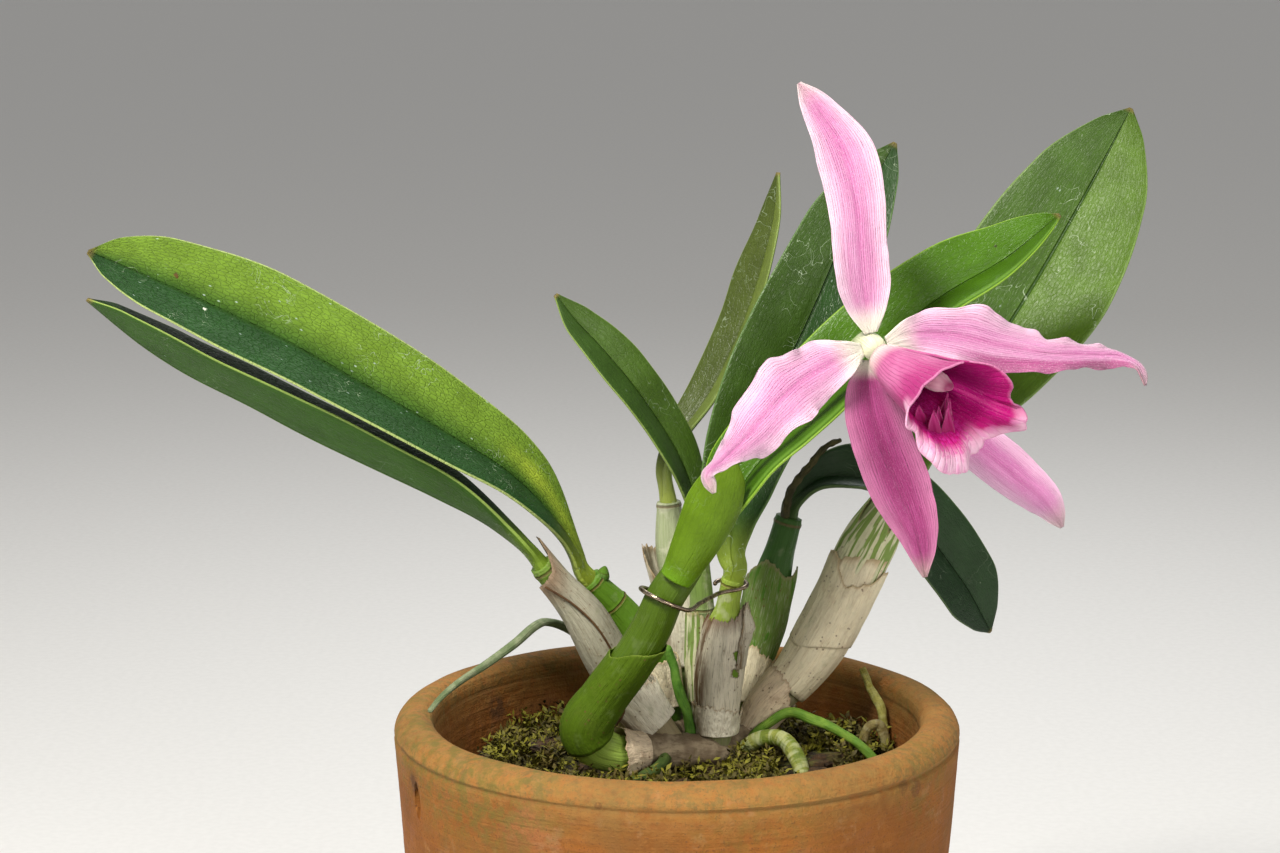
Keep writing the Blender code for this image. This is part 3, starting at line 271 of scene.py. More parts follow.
# The flower's tepals: each has its path, widths, facing, ripple, curl and frill. Where edges are given, they
# tell by which factor the left and the right half are wider
TEPALS = {
    "dorsal_sepal": dict(
        path=[(48.0, -30, 105.2), (46.5, -29.3, 113), (45, -29, 126), (44, -28, 138), (40.5, -26, 151),
            (35, -24, 160), (29.8, -22, 167)],
        widths=[(0, 3.4), (0.1, 11), (0.2, 14.5), (0.4, 14.5), (0.65, 15.5), (0.8, 11.5), (0.92, 7),
            (1, 1.2)],
        facing=[(0, (0.2, -0.95, 0)), (1, (0.1, -0.95, 0))], ripple=(0.8, 1.5, 0.0),
        curl=[(0, 30), (0.5, 15), (1, 30)], frill=0.35,
    ),
    "petal_left": dict(
        path=[(45.6, -31.5, 101.2), (38.5, -35.7, 98.7), (29, -41, 94), (21.5, -47, 87.5), (15, -52, 81.5),
            (10, -56, 77.5), (6.5, -57.5, 74.5), (8.3, -57.5, 70)],
        widths=[(0, 3.4), (0.1, 9.5), (0.33, 17), (0.57, 15), (0.76, 8.5), (0.88, 4.6), (0.96, 3.4),
            (1, 1.2)],
        facing=[(0, (0.3, -0.9, 0.2)), (0.8, (0.1, -0.8, 0.5)), (1, (-0.5, -0.8, 0.3))],
        ripple=(2.2, 2.6, 0.5), curl=[(0, 25), (0.5, -15), (0.85, -50), (1, 20)],
        edges=(
            [(0, 1), (0.3, 1), (0.42, 1.08), (0.52, 0.92), (0.62, 1.08), (0.72, 0.95), (1, 1)],
            [(0, 1), (0.09, 1.0), (0.15, 1.16), (0.27, 0.9), (0.32, 0.92), (0.38, 1.12), (0.5, 1.0),
                (0.6, 1.03), (0.7, 0.95), (1, 1)],
        ),
        frill=1.3,
    ),
    "petal_right": dict(
        path=[(52.0, -30.5, 102.7), (58, -29.5, 104.7), (68, -28, 104.5), (81, -26, 101.5), (94, -24, 99),
            (105, -23, 98.5), (112, -24, 98.3), (116, -26, 96), (117.5, -28, 91.5)],
        widths=[(0, 3.4), (0.1, 9), (0.3, 15.5), (0.52, 11.5), (0.7, 7.5), (0.85, 5.5), (0.95, 5.0),
            (1, 1.0)],
        facing=[(0, (0.3, -0.9, 0.2)), (0.75, (0.1, -0.8, 0.5)), (1, (0.7, -0.6, 0.3))],
        ripple=(2.0, 2.8, 2.0), curl=[(0, 25), (0.5, -10), (0.85, -50), (1, 10)],
        edges=(
            [(0, 1), (0.1, 1.0), (0.16, 1.12), (0.24, 0.93), (0.31, 1.12), (0.42, 1.0), (0.52, 1.15),
                (0.56, 1.22), (0.6, 0.95), (0.8, 1), (1, 1)],
            [(0, 1), (0.5, 1), (0.62, 1.15), (0.7, 1), (0.76, 0.8), (0.84, 1.2), (0.92, 0.85), (1, 1)],
        ),
        frill=1.5,
    ),
    "lateral_sepal_left": dict(
        path=[(47.1, -29.5, 98.3), (47.6, -31, 90), (50.6, -33, 79), (55.6, -34, 66), (60, -35, 55),
            (62, -37, 44)],
        widths=[(0, 3.4), (0.12, 12), (0.3, 16), (0.55, 16.5), (0.75, 12.5), (0.92, 6), (1, 1.2)],
        facing=[(0, (0.2, -0.95, 0)), (1, (0.2, -0.95, 0.1))], ripple=(0.6, 1.5, 1.0),
        curl=[(0, 25), (0.5, 18), (1, 30)], frill=0.3,
    ),
    "lateral_sepal_right": dict(
        path=[(50.8, -28.6, 99.2), (57, -26, 93.5), (66, -24, 84), (76, -22, 75), (87, -21, 66),
            (94, -22, 60), (98, -24, 54)],
        widths=[(0, 3.4), (0.12, 10), (0.35, 13), (0.65, 13), (0.85, 10.5), (0.95, 6), (1, 1.2)],
        facing=[(0, (0.2, -0.95, 0)), (1, (0.1, -0.9, 0.3))], ripple=(0.6, 1.5, 2.0),
        curl=[(0, 25), (0.5, 18), (1, 30)], frill=0.3,
    ),
}

# The lip: its axis, and its radius from base to margin. Then, for the parts of its margin from -1 to 1, with
# 0 at the bottom: how much further than the axis each reaches, how far in millimetres it stands out, how
# strongly it bulges forward before it, and how strongly it is crisped
LIP_AXIS = [(50.6, -34.8, 99.6), (56, -42, 96.6), (62.5, -50, 93.6), (69.5, -58, 90.4)]
LIP_RADII = [(0, 3.6), (0.25, 5.6), (0.6, 8.2), (0.8, 9.4), (1, 11)]
LIP_REACH = [(-1, -0.1), (-0.9, -0.14), (-0.8, -0.16), (-0.65, -0.21), (-0.47, -0.22), (-0.33, -0.17),
    (-0.25, -0.1), (-0.15, -0.01), (0, 0.02), (0.15, 0.0), (0.28, -0.08), (0.34, -0.02), (0.4, 0.1),
    (0.45, 0.22), (0.5, 0.23), (0.54, 0.14), (0.66, 0.1), (0.74, 0.12), (0.84, 0.04), (0.92, -0.04),
    (1, -0.12)]
LIP_LOBES = [(-1, 1), (-0.9, 0.5), (-0.65, 0.5), (-0.47, 2), (-0.4, 3.5), (-0.33, 1.5), (-0.25, 3.5),
    (-0.1, 5), (0.1, 5.8), (0.2, 5.6), (0.28, 4), (0.34, 6), (0.4, 6.5), (0.5, 3.5), (0.54, 4.5),
    (0.58, 1.5), (0.66, 1), (0.84, 2), (1, 0.5)]
LIP_BENDS = [(-1, 0), (-0.5, 0), (-0.35, 0.2), (0, 0.28), (0.45, 0.2), (0.6, 0), (1, 0)]
LIP_CRISPS = [(-1, 0.1), (-0.5, 0.2), (-0.4, 1), (0.6, 1), (0.7, 0.25), (1, 0.1)]
LIP_WRAP = radians(172)
LIP_CRISP = 1.3

# The column, the peduncle and last year's dried stalk, in millimetres
COLUMN = [(50.0, -34.6, 101.0), (54, -39.5, 99.4), (59.5, -46, 97.6), (66.2, -53.5, 95.2)]
COLUMN_RADII = [(0, 1.2), (0.25, 1.7), (0.5, 2.5), (0.75, 2.9), (0.9, 2.1), (1, 0.8)]
PEDUNCLE_START = (-2.2, -2.2, 1.2)
PEDUNCLE = [(5, -18.6, 55), (13, -19, 68), (25, -18.5, 81), (36, -16.5, 90), (43, -16.5, 97),
    (46.5, -21.5, 101), (47.6, -26.5, 101.8), (48.6, -30.5, 101.7), (49.7, -33.9, 100.8)]
PEDUNCLE_RADII = [(0, 1.3), (0.5, 1.4), (0.72, 1.8), (0.84, 2.5), (0.92, 3.2), (0.97, 3.1), (1, 2.3)]
DEAD_STALK = [(30.0, 36.4, 43.6), (31.3, 34.5, 51), (37, 34, 59), (41, 33, 64), (45, 32, 66)]
DEAD_STALK_RADII = [(0, 1.1), (0.6, 0.9), (1, 0.6)]

# The bract in front of the new growth's leaf base
BRACT = [(-0.8, -21.6, 39), (3.5, -23, 47), (8.5, -24, 58), (12, -24, 67), (13.5, -23.4, 71.5)]
BRACT_WIDTHS = [(0, 10), (0.3, 14), (0.6, 16), (0.85, 12), (0.96, 6), (1, 2)]
BRACT_THICKNESS = 0.0011

# The wire clip: a loop round the new growth, a bridge, and a loop behind the middle growth's neck. A loop
# has its centre, radius, first and last angle and its rise along x and y
WIRE_RADIUS = 0.6
WIRE_STEP = 30
FRONT_LOOP = ((-3.2, -15, 33.0), 6.4, (120, 330), (-0.45, -0.1))
BRIDGE = [(6, -11, 31.0), (8.5, -5, 30.8), (12, 1.5, 30.8)]
NECK_LOOP = ((14.4, 8.8, 31.2), 4.3, (-60, 180), (0, 0.1))

# Sheaths that only the looks have: further papery collars, scales and green sheaths. They read as the ones
# above, with the growth they stand on, how far in millimetres they lie off it beyond the others, and for some
# the line of the foot and how suddenly the flare sets in
SCALES = {
    "front_collar": dict(
        growth="front", finish="paper_pink", off=0.2, jag=0.025, span=(-0.04, 0.07), slit=(60, 400),
        margin=[(0, -0.01), (0.25, 0.03), (0.5, -0.02), (0.75, 0.02), (1, -0.01)],
        flare=[(0, 2.0), (0.4, 1.0), (0.7, 1.8), (1, 1.0)], bend=1.0,
    ),
    "front_green": dict(
        growth="front", finish="green_sheath", off=0.05, jag=0.004, span=(0.2, 0.6), slit=(-80, 262),
        margin=[(0, -0.04), (0.3, -0.07), (0.5, 0.0), (0.8, 0.05), (1, 0.0)],
    ),
    "right_cream": dict(
        growth="right", finish="paper_cream", off=0.35, jag=0.012, span=(0.34, 0.64), slit=(-30, 235),
        margin=[(0, 0.0), (0.2, 0.02), (0.42, -0.06), (0.55, -0.03), (0.7, 0.03), (1, 0.0)],
        foot=[(0, 0.0), (0.25, -0.02), (0.5, 0.03), (0.75, 0.06), (1, 0.0)],
        flare=[(0, 0.3), (0.4, 0.1), (0.7, 0.5), (1, 0.2)],
    ),
    "right_upper": dict(
        growth="right", finish="paper_green", off=-0.2, jag=0.012, span=(0.56, 0.92), slit=(-60, 250),
        margin=[(0, 0.0), (0.15, 0.03), (0.3, -0.14), (0.36, 0.03), (0.46, 0.02), (0.54, -0.12),
            (0.62, 0.03), (0.75, 0.03), (1, -0.04)],
        flare=[(0, 0.2), (0.4, 0.0), (0.7, 0.4), (1, 0.2)],
    ),
    "right_foot": dict(
        growth="right", finish="paper_pink", off=0.35, jag=0.03, span=(0.0, 0.17), slit=(-50, 280),
        margin=[(0, 0.0), (0.3, 0.04), (0.6, -0.03), (1, 0.02)], flare=[(0, 0.2), (0.5, 0.5), (1, 0.2)],
    ),
    "rear_right_clear": dict(
        growth="rear_right", finish="paper_clear", off=0.0, jag=0.02, span=(0.3, 0.72), slit=(-20, 230),
        margin=[(0, -0.1), (0.35, 0.06), (0.6, 0.0), (0.8, 0.05), (1, -0.1)],
        flare=[(0, 1.2), (0.5, 0.2), (1, 0.8)],
    ),
    "rear_right_foot": dict(
        growth="rear_right", finish="paper_cream", off=0.5, jag=0.045, span=(0.08, 0.3), slit=(-60, 270),
        margin=[(0, 0.0), (0.4, 0.05), (0.7, -0.03), (1, 0.04)], flare=[(0, 1.4), (0.5, 0.8), (1, 1.0)],
    ),
    "middle_flag": dict(
        growth="middle", finish="paper_white", off=0.4, jag=0.05, span=(0.5, 0.84), slit=(128, 188),
        margin=[(0, -0.18), (0.3, -0.05), (0.55, 0.04), (0.8, -0.01), (1, -0.12)],
        flare=[(0, 0.2), (0.6, 0.9), (1, 2.2)],
    ),
    "middle_foot": dict(
        growth="middle", finish="paper_white", off=0.7, jag=0.05, span=(0.1, 0.24), slit=(-60, 275),
        margin=[(0, 0.0), (0.4, 0.04), (0.7, -0.02), (1, 0.02)], flare=[(0, 0.4), (0.5, 0.2), (1, 0.5)],
    ),
    "left_back_foot": dict(
        growth="left_back", finish="paper_cream", off=0.1, jag=0.04, span=(0.12, 0.4), slit=(-60, 270),
        margin=[(0, 0.0), (0.3, 0.06), (0.7, -0.04), (1, 0.02)], flare=[(0, 1.0), (0.5, 0.2), (1, 0.8)],
    ),
    "centre_back_foot": dict(
        growth="centre_back", finish="paper_green", off=0.1, jag=0.03, span=(0.12, 0.55), slit=(-70, 265),
        margin=[(0, 0.0), (0.4, 0.05), (0.7, -0.05), (1, 0.03)], flare=[(0, 0.6), (0.5, 0.1), (1, 0.5)],
    ),
    "left_front_foot": dict(
        growth="left_front", finish="paper_white", off=0.9, jag=0.04, span=(0.1, 0.3), slit=(-60, 270),
        margin=[(0, 0.0), (0.4, 0.06), (0.7, -0.02), (1, 0.05)], flare=[(0, 1.2), (0.5, 0.9), (1, 0.6)],
    ),
}

# Papers: pale and dark colours, how dirty and how fibrous each is, the stain's colour, a shadowed side, slits
# as (noise from which one opens, colour), holes as (u, v, radius) on a sheath of that size, and the colour of
# the top, which sets in at the share tip
PAPERS = {
    "paper_white": dict(
        pale=(0.84, 0.8, 0.64), dark=(0.3, 0.22, 0.12), dirt=0.2, fibres=0.5,
        shadow=(0.22, 0.42, (0.24, 0.17, 0.09)), top=(0.36, 0.26, 0.15), tip=0.93,
    ),
    "paper_fibrous": dict(
        pale=(0.84, 0.79, 0.62), dark=(0.17, 0.12, 0.07), dirt=0.12, fibres=0.62,
        shadow=(0.34, 0.46, (0.14, 0.08, 0.04)), top=(0.13, 0.06, 0.025), tip=0.82,
        holes=((0.62, 0.62, 2.3), (0.61, 0.44, 1.5)), size=(27, 39),
    ),
    "paper_green": dict(
        pale=(0.76, 0.76, 0.5), dark=(0.42, 0.4, 0.19), dirt=0.2, fibres=0.35,
        slits=(0.47, (0.15, 0.28, 0.02)), top=(0.34, 0.26, 0.13),
    ),
    "paper_cream": dict(
        pale=(0.88, 0.8, 0.57), dark=(0.46, 0.33, 0.16), dirt=0.22, fibres=0.35, stain=(0.34, 0.19, 0.08),
    ),
    "paper_pink": dict(
        pale=(0.8, 0.66, 0.47), dark=(0.25, 0.14, 0.08), dirt=0.4, fibres=0.45, stain=(0.24, 0.12, 0.06),
        top=(0.42, 0.29, 0.18),
    ),
    "paper_beige": dict(
        pale=(0.42, 0.4, 0.3), dark=(0.17, 0.14, 0.09), dirt=0.25, tip=0.78, top=(0.26, 0.15, 0.085),
    ),
    "paper_clear": dict(
        pale=(0.15, 0.25, 0.05), dark=(0.52, 0.54, 0.38), dirt=0.15, top=(0.3, 0.26, 0.14),
        slits=(0.6, (0.07, 0.2, 0.015)),
    ),
    "green_sheath": dict(
        pale=(0.08, 0.145, 0.005), dark=(0.055, 0.11, 0.004), dirt=0.05, fibres=0.4, top=(0.2, 0.27, 0.04),
        tip=0.985,
    ),
}

# Leaf finishes. turn is where across the blade the low half meets the high one. under, rib, margin and base
# are the colours of the underside, midrib, margin and foot. specks, scratches and pebbled tell how strong
# those are, gate how widely specks lie, shine how much it mirrors and gloss how rough it is. size is the
# blade's length and width in millimetres. spots are (u, v, radius, colour), strip (first u, last u, colour),
# flush (u, first v, last v, colour) a paler patch, scar the first and last v of a brown one, and seed shifts
# the patterns
LEAF_LOOKS = {
    # left_back: the bright high half and the dark low half are partly the leaf's own tones and partly painted
    # light and shade, the high half lit from above and the low half in shade
    "left_back": dict(
        turn=(0.42, 0.78), scar=(0.02, 0.13), pebbled=0.38, shine=0.08, gate=0.46,
        flush=(0.71, 0.1, 0.3, (0.29, 0.39, 0.035)), low=(0.015, 0.064, 0.01), high=(0.145, 0.252, 0.026),
        under=(0.11, 0.21, 0.03), rib=(0.02, 0.06, 0.01), margin=(0.42, 0.52, 0.18),
        base=(0.33, 0.42, 0.04), specks=0.65, scratches=0.5, gloss=0.46, size=(175, 37), seed=1.0,
        spots=[(0.62, 0.86, 1.2, (0.1, 0.06, 0.02)), (0.38, 0.8, 0.9, (0.72, 0.76, 0.62))],
    ),
    # left_front: the nearly black upper side is painted shade, the leaf's upper face being seen in shadow
    # inside its fold
    "left_front": dict(
        shine=0.08, low=(0.008, 0.022, 0.005), high=(0.012, 0.035, 0.006), under=(0.034, 0.1, 0.009),
        rib=(0.1, 0.2, 0.03), margin=(0.3, 0.42, 0.1), base=(0.2, 0.32, 0.03), specks=0.35, scratches=0.25,
        gloss=0.5, size=(150, 26), seed=2.0,
    ),
    "front": dict(
        shine=0.2, low=(0.058, 0.152, 0.003), high=(0.046, 0.122, 0.003), under=(0.1, 0.21, 0.009),
        rib=(0.05, 0.145, 0.004), margin=(0.24, 0.41, 0.04), base=(0.13, 0.28, 0.01), specks=0.1,
        scratches=0.15, gloss=0.33, size=(150, 29), seed=3.0, strip=(0.88, 0.95, (0.13, 0.27, 0.03)),
        spots=[(0.3, 0.86, 0.8, (0.04, 0.06, 0.01)), (0.62, 0.7, 0.7, (0.04, 0.06, 0.01))],
    ),
    # middle: the high half is darker than the low one by painted shade, the shaded side of the leaf's channel
    "middle": dict(
        shine=0.2, low=(0.034, 0.076, 0.008), high=(0.018, 0.055, 0.01), under=(0.08, 0.15, 0.03),
        rib=(0.01, 0.03, 0.008), margin=(0.1, 0.19, 0.05), base=(0.28, 0.38, 0.04), specks=0.3,
        scratches=0.75, gloss=0.34, size=(140, 31), seed=4.0,
    ),
    "centre_back": dict(
        shine=0.3, low=(0.034, 0.08, 0.009), high=(0.052, 0.108, 0.011), under=(0.1, 0.18, 0.03),
        rib=(0.035, 0.08, 0.01), margin=(0.27, 0.38, 0.09), base=(0.14, 0.22, 0.03), specks=0.2,
        scratches=0.3, gloss=0.36, size=(85, 15), seed=5.0,
    ),
    "rear": dict(
        shine=0.3, low=(0.058, 0.084, 0.012), high=(0.13, 0.18, 0.03), under=(0.13, 0.2, 0.04),
        rib=(0.05, 0.09, 0.015), margin=(0.22, 0.3, 0.08), base=(0.4, 0.48, 0.09), specks=0.25,
        scratches=0.35, gloss=0.38, size=(105, 18), seed=6.0,
    ),
    # rear_right: its very dark greens are partly painted shade, as the leaf hangs in shadow behind the flower
    "rear_right": dict(
        shine=0.25, low=(0.016, 0.045, 0.012), high=(0.012, 0.036, 0.01), under=(0.05, 0.1, 0.025),
        rib=(0.01, 0.025, 0.006), margin=(0.1, 0.16, 0.06), base=(0.05, 0.1, 0.02), specks=0.25,
        scratches=0.35, gloss=0.36, size=(105, 24), seed=7.0,
    ),
    "right": dict(
        shine=0.2, low=(0.044, 0.098, 0.009), high=(0.074, 0.148, 0.01), under=(0.13, 0.22, 0.04),
        rib=(0.02, 0.055, 0.012), margin=(0.17, 0.27, 0.07), base=(0.11, 0.2, 0.03), specks=0.5,
        scratches=0.8, gloss=0.38, size=(115, 43), seed=8.0,
    ),
}

# Stem finishes: colours of foot and top, the share where they turn into each other, the streaks' colour, how
# bleached and freckled it is, and scars at shares of the length with their colour
STEM_LOOKS = {
    "left_front": dict(
        foot=(0.3, 0.25, 0.14), top=(0.15, 0.27, 0.03), turn=0.8, streak=(0.2, 0.16, 0.08), bleach=0.4,
        freckles=0.4, scars=(0.5, 0.97), scar=(0.12, 0.07, 0.03),
    ),
    "left_back": dict(
        foot=(0.065, 0.17, 0.01), top=(0.11, 0.24, 0.014), turn=0.5, streak=(0.08, 0.18, 0.012), bleach=0.1,
        freckles=0.2, scars=(0.55, 0.8, 0.97), scar=(0.2, 0.11, 0.04),
    ),
    "front": dict(
        foot=(0.5, 0.72, 0.13), top=(0.07, 0.13, 0.004), turn=0.18, streak=(0.048, 0.098, 0.003),
        bleach=0.05, freckles=0.1, scars=(0.985,), scar=(0.16, 0.3, 0.04),
    ),
    "middle": dict(
        foot=(0.3, 0.3, 0.16), top=(0.3, 0.42, 0.05), turn=0.6, streak=(0.17, 0.24, 0.04), bleach=0.4,
        freckles=0.3, scars=(0.72, 0.97), scar=(0.22, 0.14, 0.05),
    ),
    "centre_back": dict(
        foot=(0.28, 0.34, 0.17), top=(0.22, 0.34, 0.08), turn=0.6, streak=(0.16, 0.24, 0.06), bleach=0.6,
        freckles=0.2, scars=(0.6, 0.97), scar=(0.2, 0.15, 0.07),
    ),
    "rear": dict(
        foot=(0.24, 0.32, 0.12), top=(0.42, 0.47, 0.28), turn=0.6, streak=(0.2, 0.27, 0.09), bleach=0.6,
        freckles=0.3, scars=(0.66, 0.985), scar=(0.13, 0.07, 0.03),
    ),
    "rear_right": dict(
        foot=(0.15, 0.2, 0.05), top=(0.045, 0.13, 0.02), turn=0.4, streak=(0.03, 0.08, 0.012), bleach=0.15,
        freckles=0.3, scars=(0.6, 0.97), scar=(0.16, 0.1, 0.05),
    ),
    "right": dict(
        foot=(0.36, 0.32, 0.2), top=(0.4, 0.46, 0.22), turn=0.55, streak=(0.21, 0.27, 0.06), bleach=0.5,
        freckles=0.6, scars=(0.62, 0.9, 0.98), scar=(0.25, 0.16, 0.07),
    ),
}

# Tepal finishes: main, deep, pale and vein colours, how pale the margin and the tip are, where the pale
# throat ends, and turned, which is the u from which the blade shows its back, and the colour there
TEPAL_LOOKS = {
    "dorsal_sepal": dict(
        main=(0.7, 0.32, 0.55), deep=(0.61, 0.22, 0.44), pale=(0.88, 0.69, 0.8), vein=(0.55, 0.12, 0.36),
        edge=0.75, tip=0.35, throat=0.13, seed=1.0,
    ),
    "petal_left": dict(
        main=(0.71, 0.35, 0.57), deep=(0.61, 0.23, 0.46), pale=(0.87, 0.67, 0.79), vein=(0.58, 0.13, 0.38),
        edge=0.65, tip=0.55, throat=0.17, seed=2.0,
    ),
    "petal_right": dict(
        main=(0.71, 0.35, 0.57), deep=(0.6, 0.22, 0.46), pale=(0.87, 0.66, 0.78),
        turned=(0.66, (0.38, 0.03, 0.19)), vein=(0.5, 0.09, 0.3), edge=0.6, tip=0.3, throat=0.14, seed=3.0,
    ),
    # lateral_sepal_left: darker than the right lateral sepal by painted shade, as it lies in shadow
    "lateral_sepal_left": dict(
        main=(0.4, 0.06, 0.23), deep=(0.3, 0.03, 0.155), pale=(0.62, 0.24, 0.42), vein=(0.22, 0.01, 0.1),
        edge=0.6, tip=0.35, throat=0.1, seed=4.0,
    ),
    "lateral_sepal_right": dict(
        main=(0.67, 0.27, 0.52), deep=(0.58, 0.18, 0.43), pale=(0.83, 0.6, 0.75), vein=(0.52, 0.09, 0.33),
        edge=0.6, tip=0.4, throat=0.12, seed=5.0,
    ),
}

# Marks on the pot, as places from the centre of the rim and sizes in millimetres, for algae also a strength
ALGAE = (((-68, -18, 0), 26, 0.75), ((-55, -44, -6), 24, 0.8), ((-40, -58, -9), 22, 0.7),
    ((-74, 10, 0), 18, 0.6), ((62, -40, -6), 20, 0.55), ((72, 20, 0), 22, 0.45),
    ((20, -72, -10), 26, 0.35))
STAINS = (((-50, 41, -12), 5), ((-68, -31, -12), 4), ((-62, 30, -8), 3))
CHIPS = (((56, -49, -7), 2.2), ((60, -45, -9), 2.6), ((-20, -72, -5), 1.2))

# Moss: sprigs in all, leaflets on each, and sizes in millimetres. Bark: how many chips, and their size
SPRIGS = 4600
LEAFLETS = 10
SPRIG_HEIGHT = (1.4, 5.2)
LEAFLET_LENGTH = (1.2, 3.0)
LEAFLET_WIDTH = 1.05
BARK_PIECES = 90
BARK_SIZE = (2.2, 5.5)

# Furrows and waves of a growth's skin, the wrinkles of its sheath and how far further out it lies, how far
# a leaf's or tepal's surface leaves its smooth course, and how deep its midrib lies, in millimetres
FURROWS = 11
FURROW_DEPTH = 0.10
SKIN_WAVE = 0.35
WRINKLE = 0.28
SHEATH_LIFT = 0.2
WAVER = 0.5
LEAF_CREASE = 0.45
TEPAL_CREASE = 0.35

# The thin brown strand that hangs down the left front growth: (share of the stem, angle, distance off it)
STRAND = [(0.93, 60, 1.2), (0.8, 95, 1.6), (0.66, 110, 1.4), (0.5, 112, 1.3), (0.36, 92, 1.5),
    (0.26, 60, 2.2), (0.22, 30, 4.0)]
STRAND_RADII = [(0, 0.28), (0.6, 0.34), (0.9, 0.5), (1, 0.15)]

# The resting bud beside the left back growth: its foot, its direction, and its length in millimetres
BUD_FOOT = (-20.5, 16.0, 30.0)
BUD_DIRECTION = (0.3, -0.2, 1.0)
BUD_LENGTH = 5.0
BUD_RADII = [(0, 1.6), (0.4, 2.0), (0.8, 1.1), (1, 0.3)]

# The crest inside the lip: pointed flaps, each with its place round and along the lip, its height in
# millimetres and how far it leans aside
CREST = ((-0.13, 0.58, 5.0, -0.9), (-0.05, 0.66, 6.2, -0.4), (0.03, 0.62, 6.0, 0.2),
    (0.09, 0.68, 7.2, -0.2), (0.16, 0.64, 6.8, 0.5), (0.23, 0.58, 5.4, 0.9))
CREST_CELLS = (10, 14)
CREST_WIDTH = 1.9
CREST_THICKNESS = 0.0005
CREST_UP = np.array([0.0, -0.1, 1.0])
CREST_ACROSS = np.array([0.9, 0.35, 0.0])

# The camera's place, pitch and lens. Lights: place, size in metres, power in watts, and colour
CAMERA_PLACE = (-0.0098, -0.822, 0.37)
CAMERA_PITCH = radians(79.3)
CAMERA_LENS = 90
LIGHTS = {
    "key": ((-0.35, -0.55, 0.95), 0.24, 13.5, (1.0, 0.955, 0.88)),
    "front": ((0.45, -0.9, 0.5), 0.5, 3.2, (1.0, 0.96, 0.91)),
    "back": ((0.15, 0.7, 0.9), 0.6, 3.2, (0.98, 0.99, 1.0)),
}
LIGHT_AIM = (0.0, 0.0, 0.16)
WORLD_COLOUR = (1.0, 0.985, 0.965)
WORLD_STRENGTH = 0.34
FLOOR_SIZE = 24.0

# The size in millimetres of the glints on the flower's skin
SPARKLE = 0.28


def at(x, y, z):
    """A point in metres, from millimetres off the centre of the pot's rim."""
    return Vector((x * MM, y * MM, z * MM + POT_HEIGHT))


def curve(knots, values, slopes, places):
    """Values at places on the curve through values at knots that has those slopes there."""
    cell = np.clip(np.searchsorted(knots, places) - 1, 0, len(knots) - 2)
    step = knots[cell + 1] - knots[cell]
    t = (places - knots[cell]) / step
    if values.ndim > 1:
        step, t = step[:, None], t[:, None]
    near = values[cell] * (1 + 2 * t) * (1 - t) ** 2 + slopes[cell] * step * t * (1 - t) ** 2
    far = values[cell + 1] * t * t * (3 - 2 * t) + slopes[cell + 1] * step * t * t * (t - 1)
    return near + far


def along(pairs, shares):
    """Values at shares of a length, on a smooth curve through (share, value) pairs that never overshoots."""
    knots, values = np.array(pairs, float).T
    rises = np.diff(values) / np.diff(knots)
    slopes = np.concatenate([rises[:1], np.zeros(len(rises) - 1), rises[-1:]])
    for i in range(1, len(rises)):
        if rises[i - 1] * rises[i] > 0:
            slopes[i] = 2 * rises[i - 1] * rises[i] / (rises[i - 1] + rises[i])
    return curve(knots, values, slopes, shares)


def straight(knots, rows, places):
    """Rows of three numbers at places, read along straight lines between the rows at knots."""
    return np.stack([np.interp(places, knots, rows[:, axis]) for axis in range(3)], -1)


def unit(vectors):
    """The vectors in the last axis, each scaled to length 1."""
    return vectors / np.linalg.norm(vectors, axis=-1, keepdims=True)


class Path:
    """A smooth curve through a few points, read at shares of its length."""

    SAMPLES = 240

    def __init__(self, points):
        points = np.array([tuple(point) for point in points], float)
        knots = np.concatenate([[0], np.cumsum(np.linalg.norm(np.diff(points, axis=0), axis=1))])
        slopes = np.gradient(points, knots, axis=0)
        self.line = curve(knots, points, slopes, np.linspace(0, knots[-1], self.SAMPLES))
        run = np.concatenate([[0], np.cumsum(np.linalg.norm(np.diff(self.line, axis=0), axis=1))])
        self.length = run[-1]
        self.shares = run / run[-1]

    def points(self, shares):
        """Places at an array of shares of the length; past either end the path goes straight on."""
        inside = np.clip(shares, 0.0, 1.0)
        places = straight(self.shares, self.line, inside)
        return places + self.tangents(inside) * (np.asarray(shares - inside) * self.length)[..., None]

    def tangents(self, shares):
        reach = 2 / self.SAMPLES
        before = straight(self.shares, self.line, np.maximum(shares - reach, 0.0))
        after = straight(self.shares, self.line, np.minimum(shares + reach, 1.0))
        return unit(after - before)

    def frames(self, shares, towards):
        """At each share, the direction square to the path that is nearest to towards, and the third one."""
        tangents = self.tangents(shares)
        faces = unit(towards - tangents * np.sum(tangents * towards, axis=-1, keepdims=True))
        return faces, np.cross(tangents, faces)


def row_share(v):
    """Rows lie a little closer together towards both ends of a blade."""
    return 0.6 * v + 0.4 * (1 - np.cos(pi * v)) / 2


def wall_radius(height, inner=False):
    """The pot's outer radius at a height, or its inner one."""
    taper = (POT_RADIUS - POT_BASE_RADIUS) / (POT_HEIGHT - RIM_ROUNDING)
    radius = POT_BASE_RADIUS + taper * min(height, POT_HEIGHT - RIM_ROUNDING)
    return radius - WALL if inner else radius


def arc(centre, radius, angles):
    """Points (radius, height) on a rounding, at angles in degrees from the outside up."""
    turns = [radians(angle) for angle in angles]
    return [(centre[0] + radius * cos(turn), centre[1] + radius * sin(turn)) for turn in turns]


def mix_height(x, y):
    """The height of the mossy surface under the rim, in millimetres."""
    height = MIX_LEVEL
    for mound_x, mound_y, rise, spread in MOUNDS:
        distance = ((x - mound_x) ** 2 + (y - mound_y) ** 2) / spread ** 2
        height += rise * np.exp(-distance)
    return height + BUMP_HEIGHT * noise.noise(Vector((x, y, 3.0)) / BUMP_SIZE)


def path_at(places):
    """The path through places given in millimetres."""
    return Path([at(*place) for place in places])


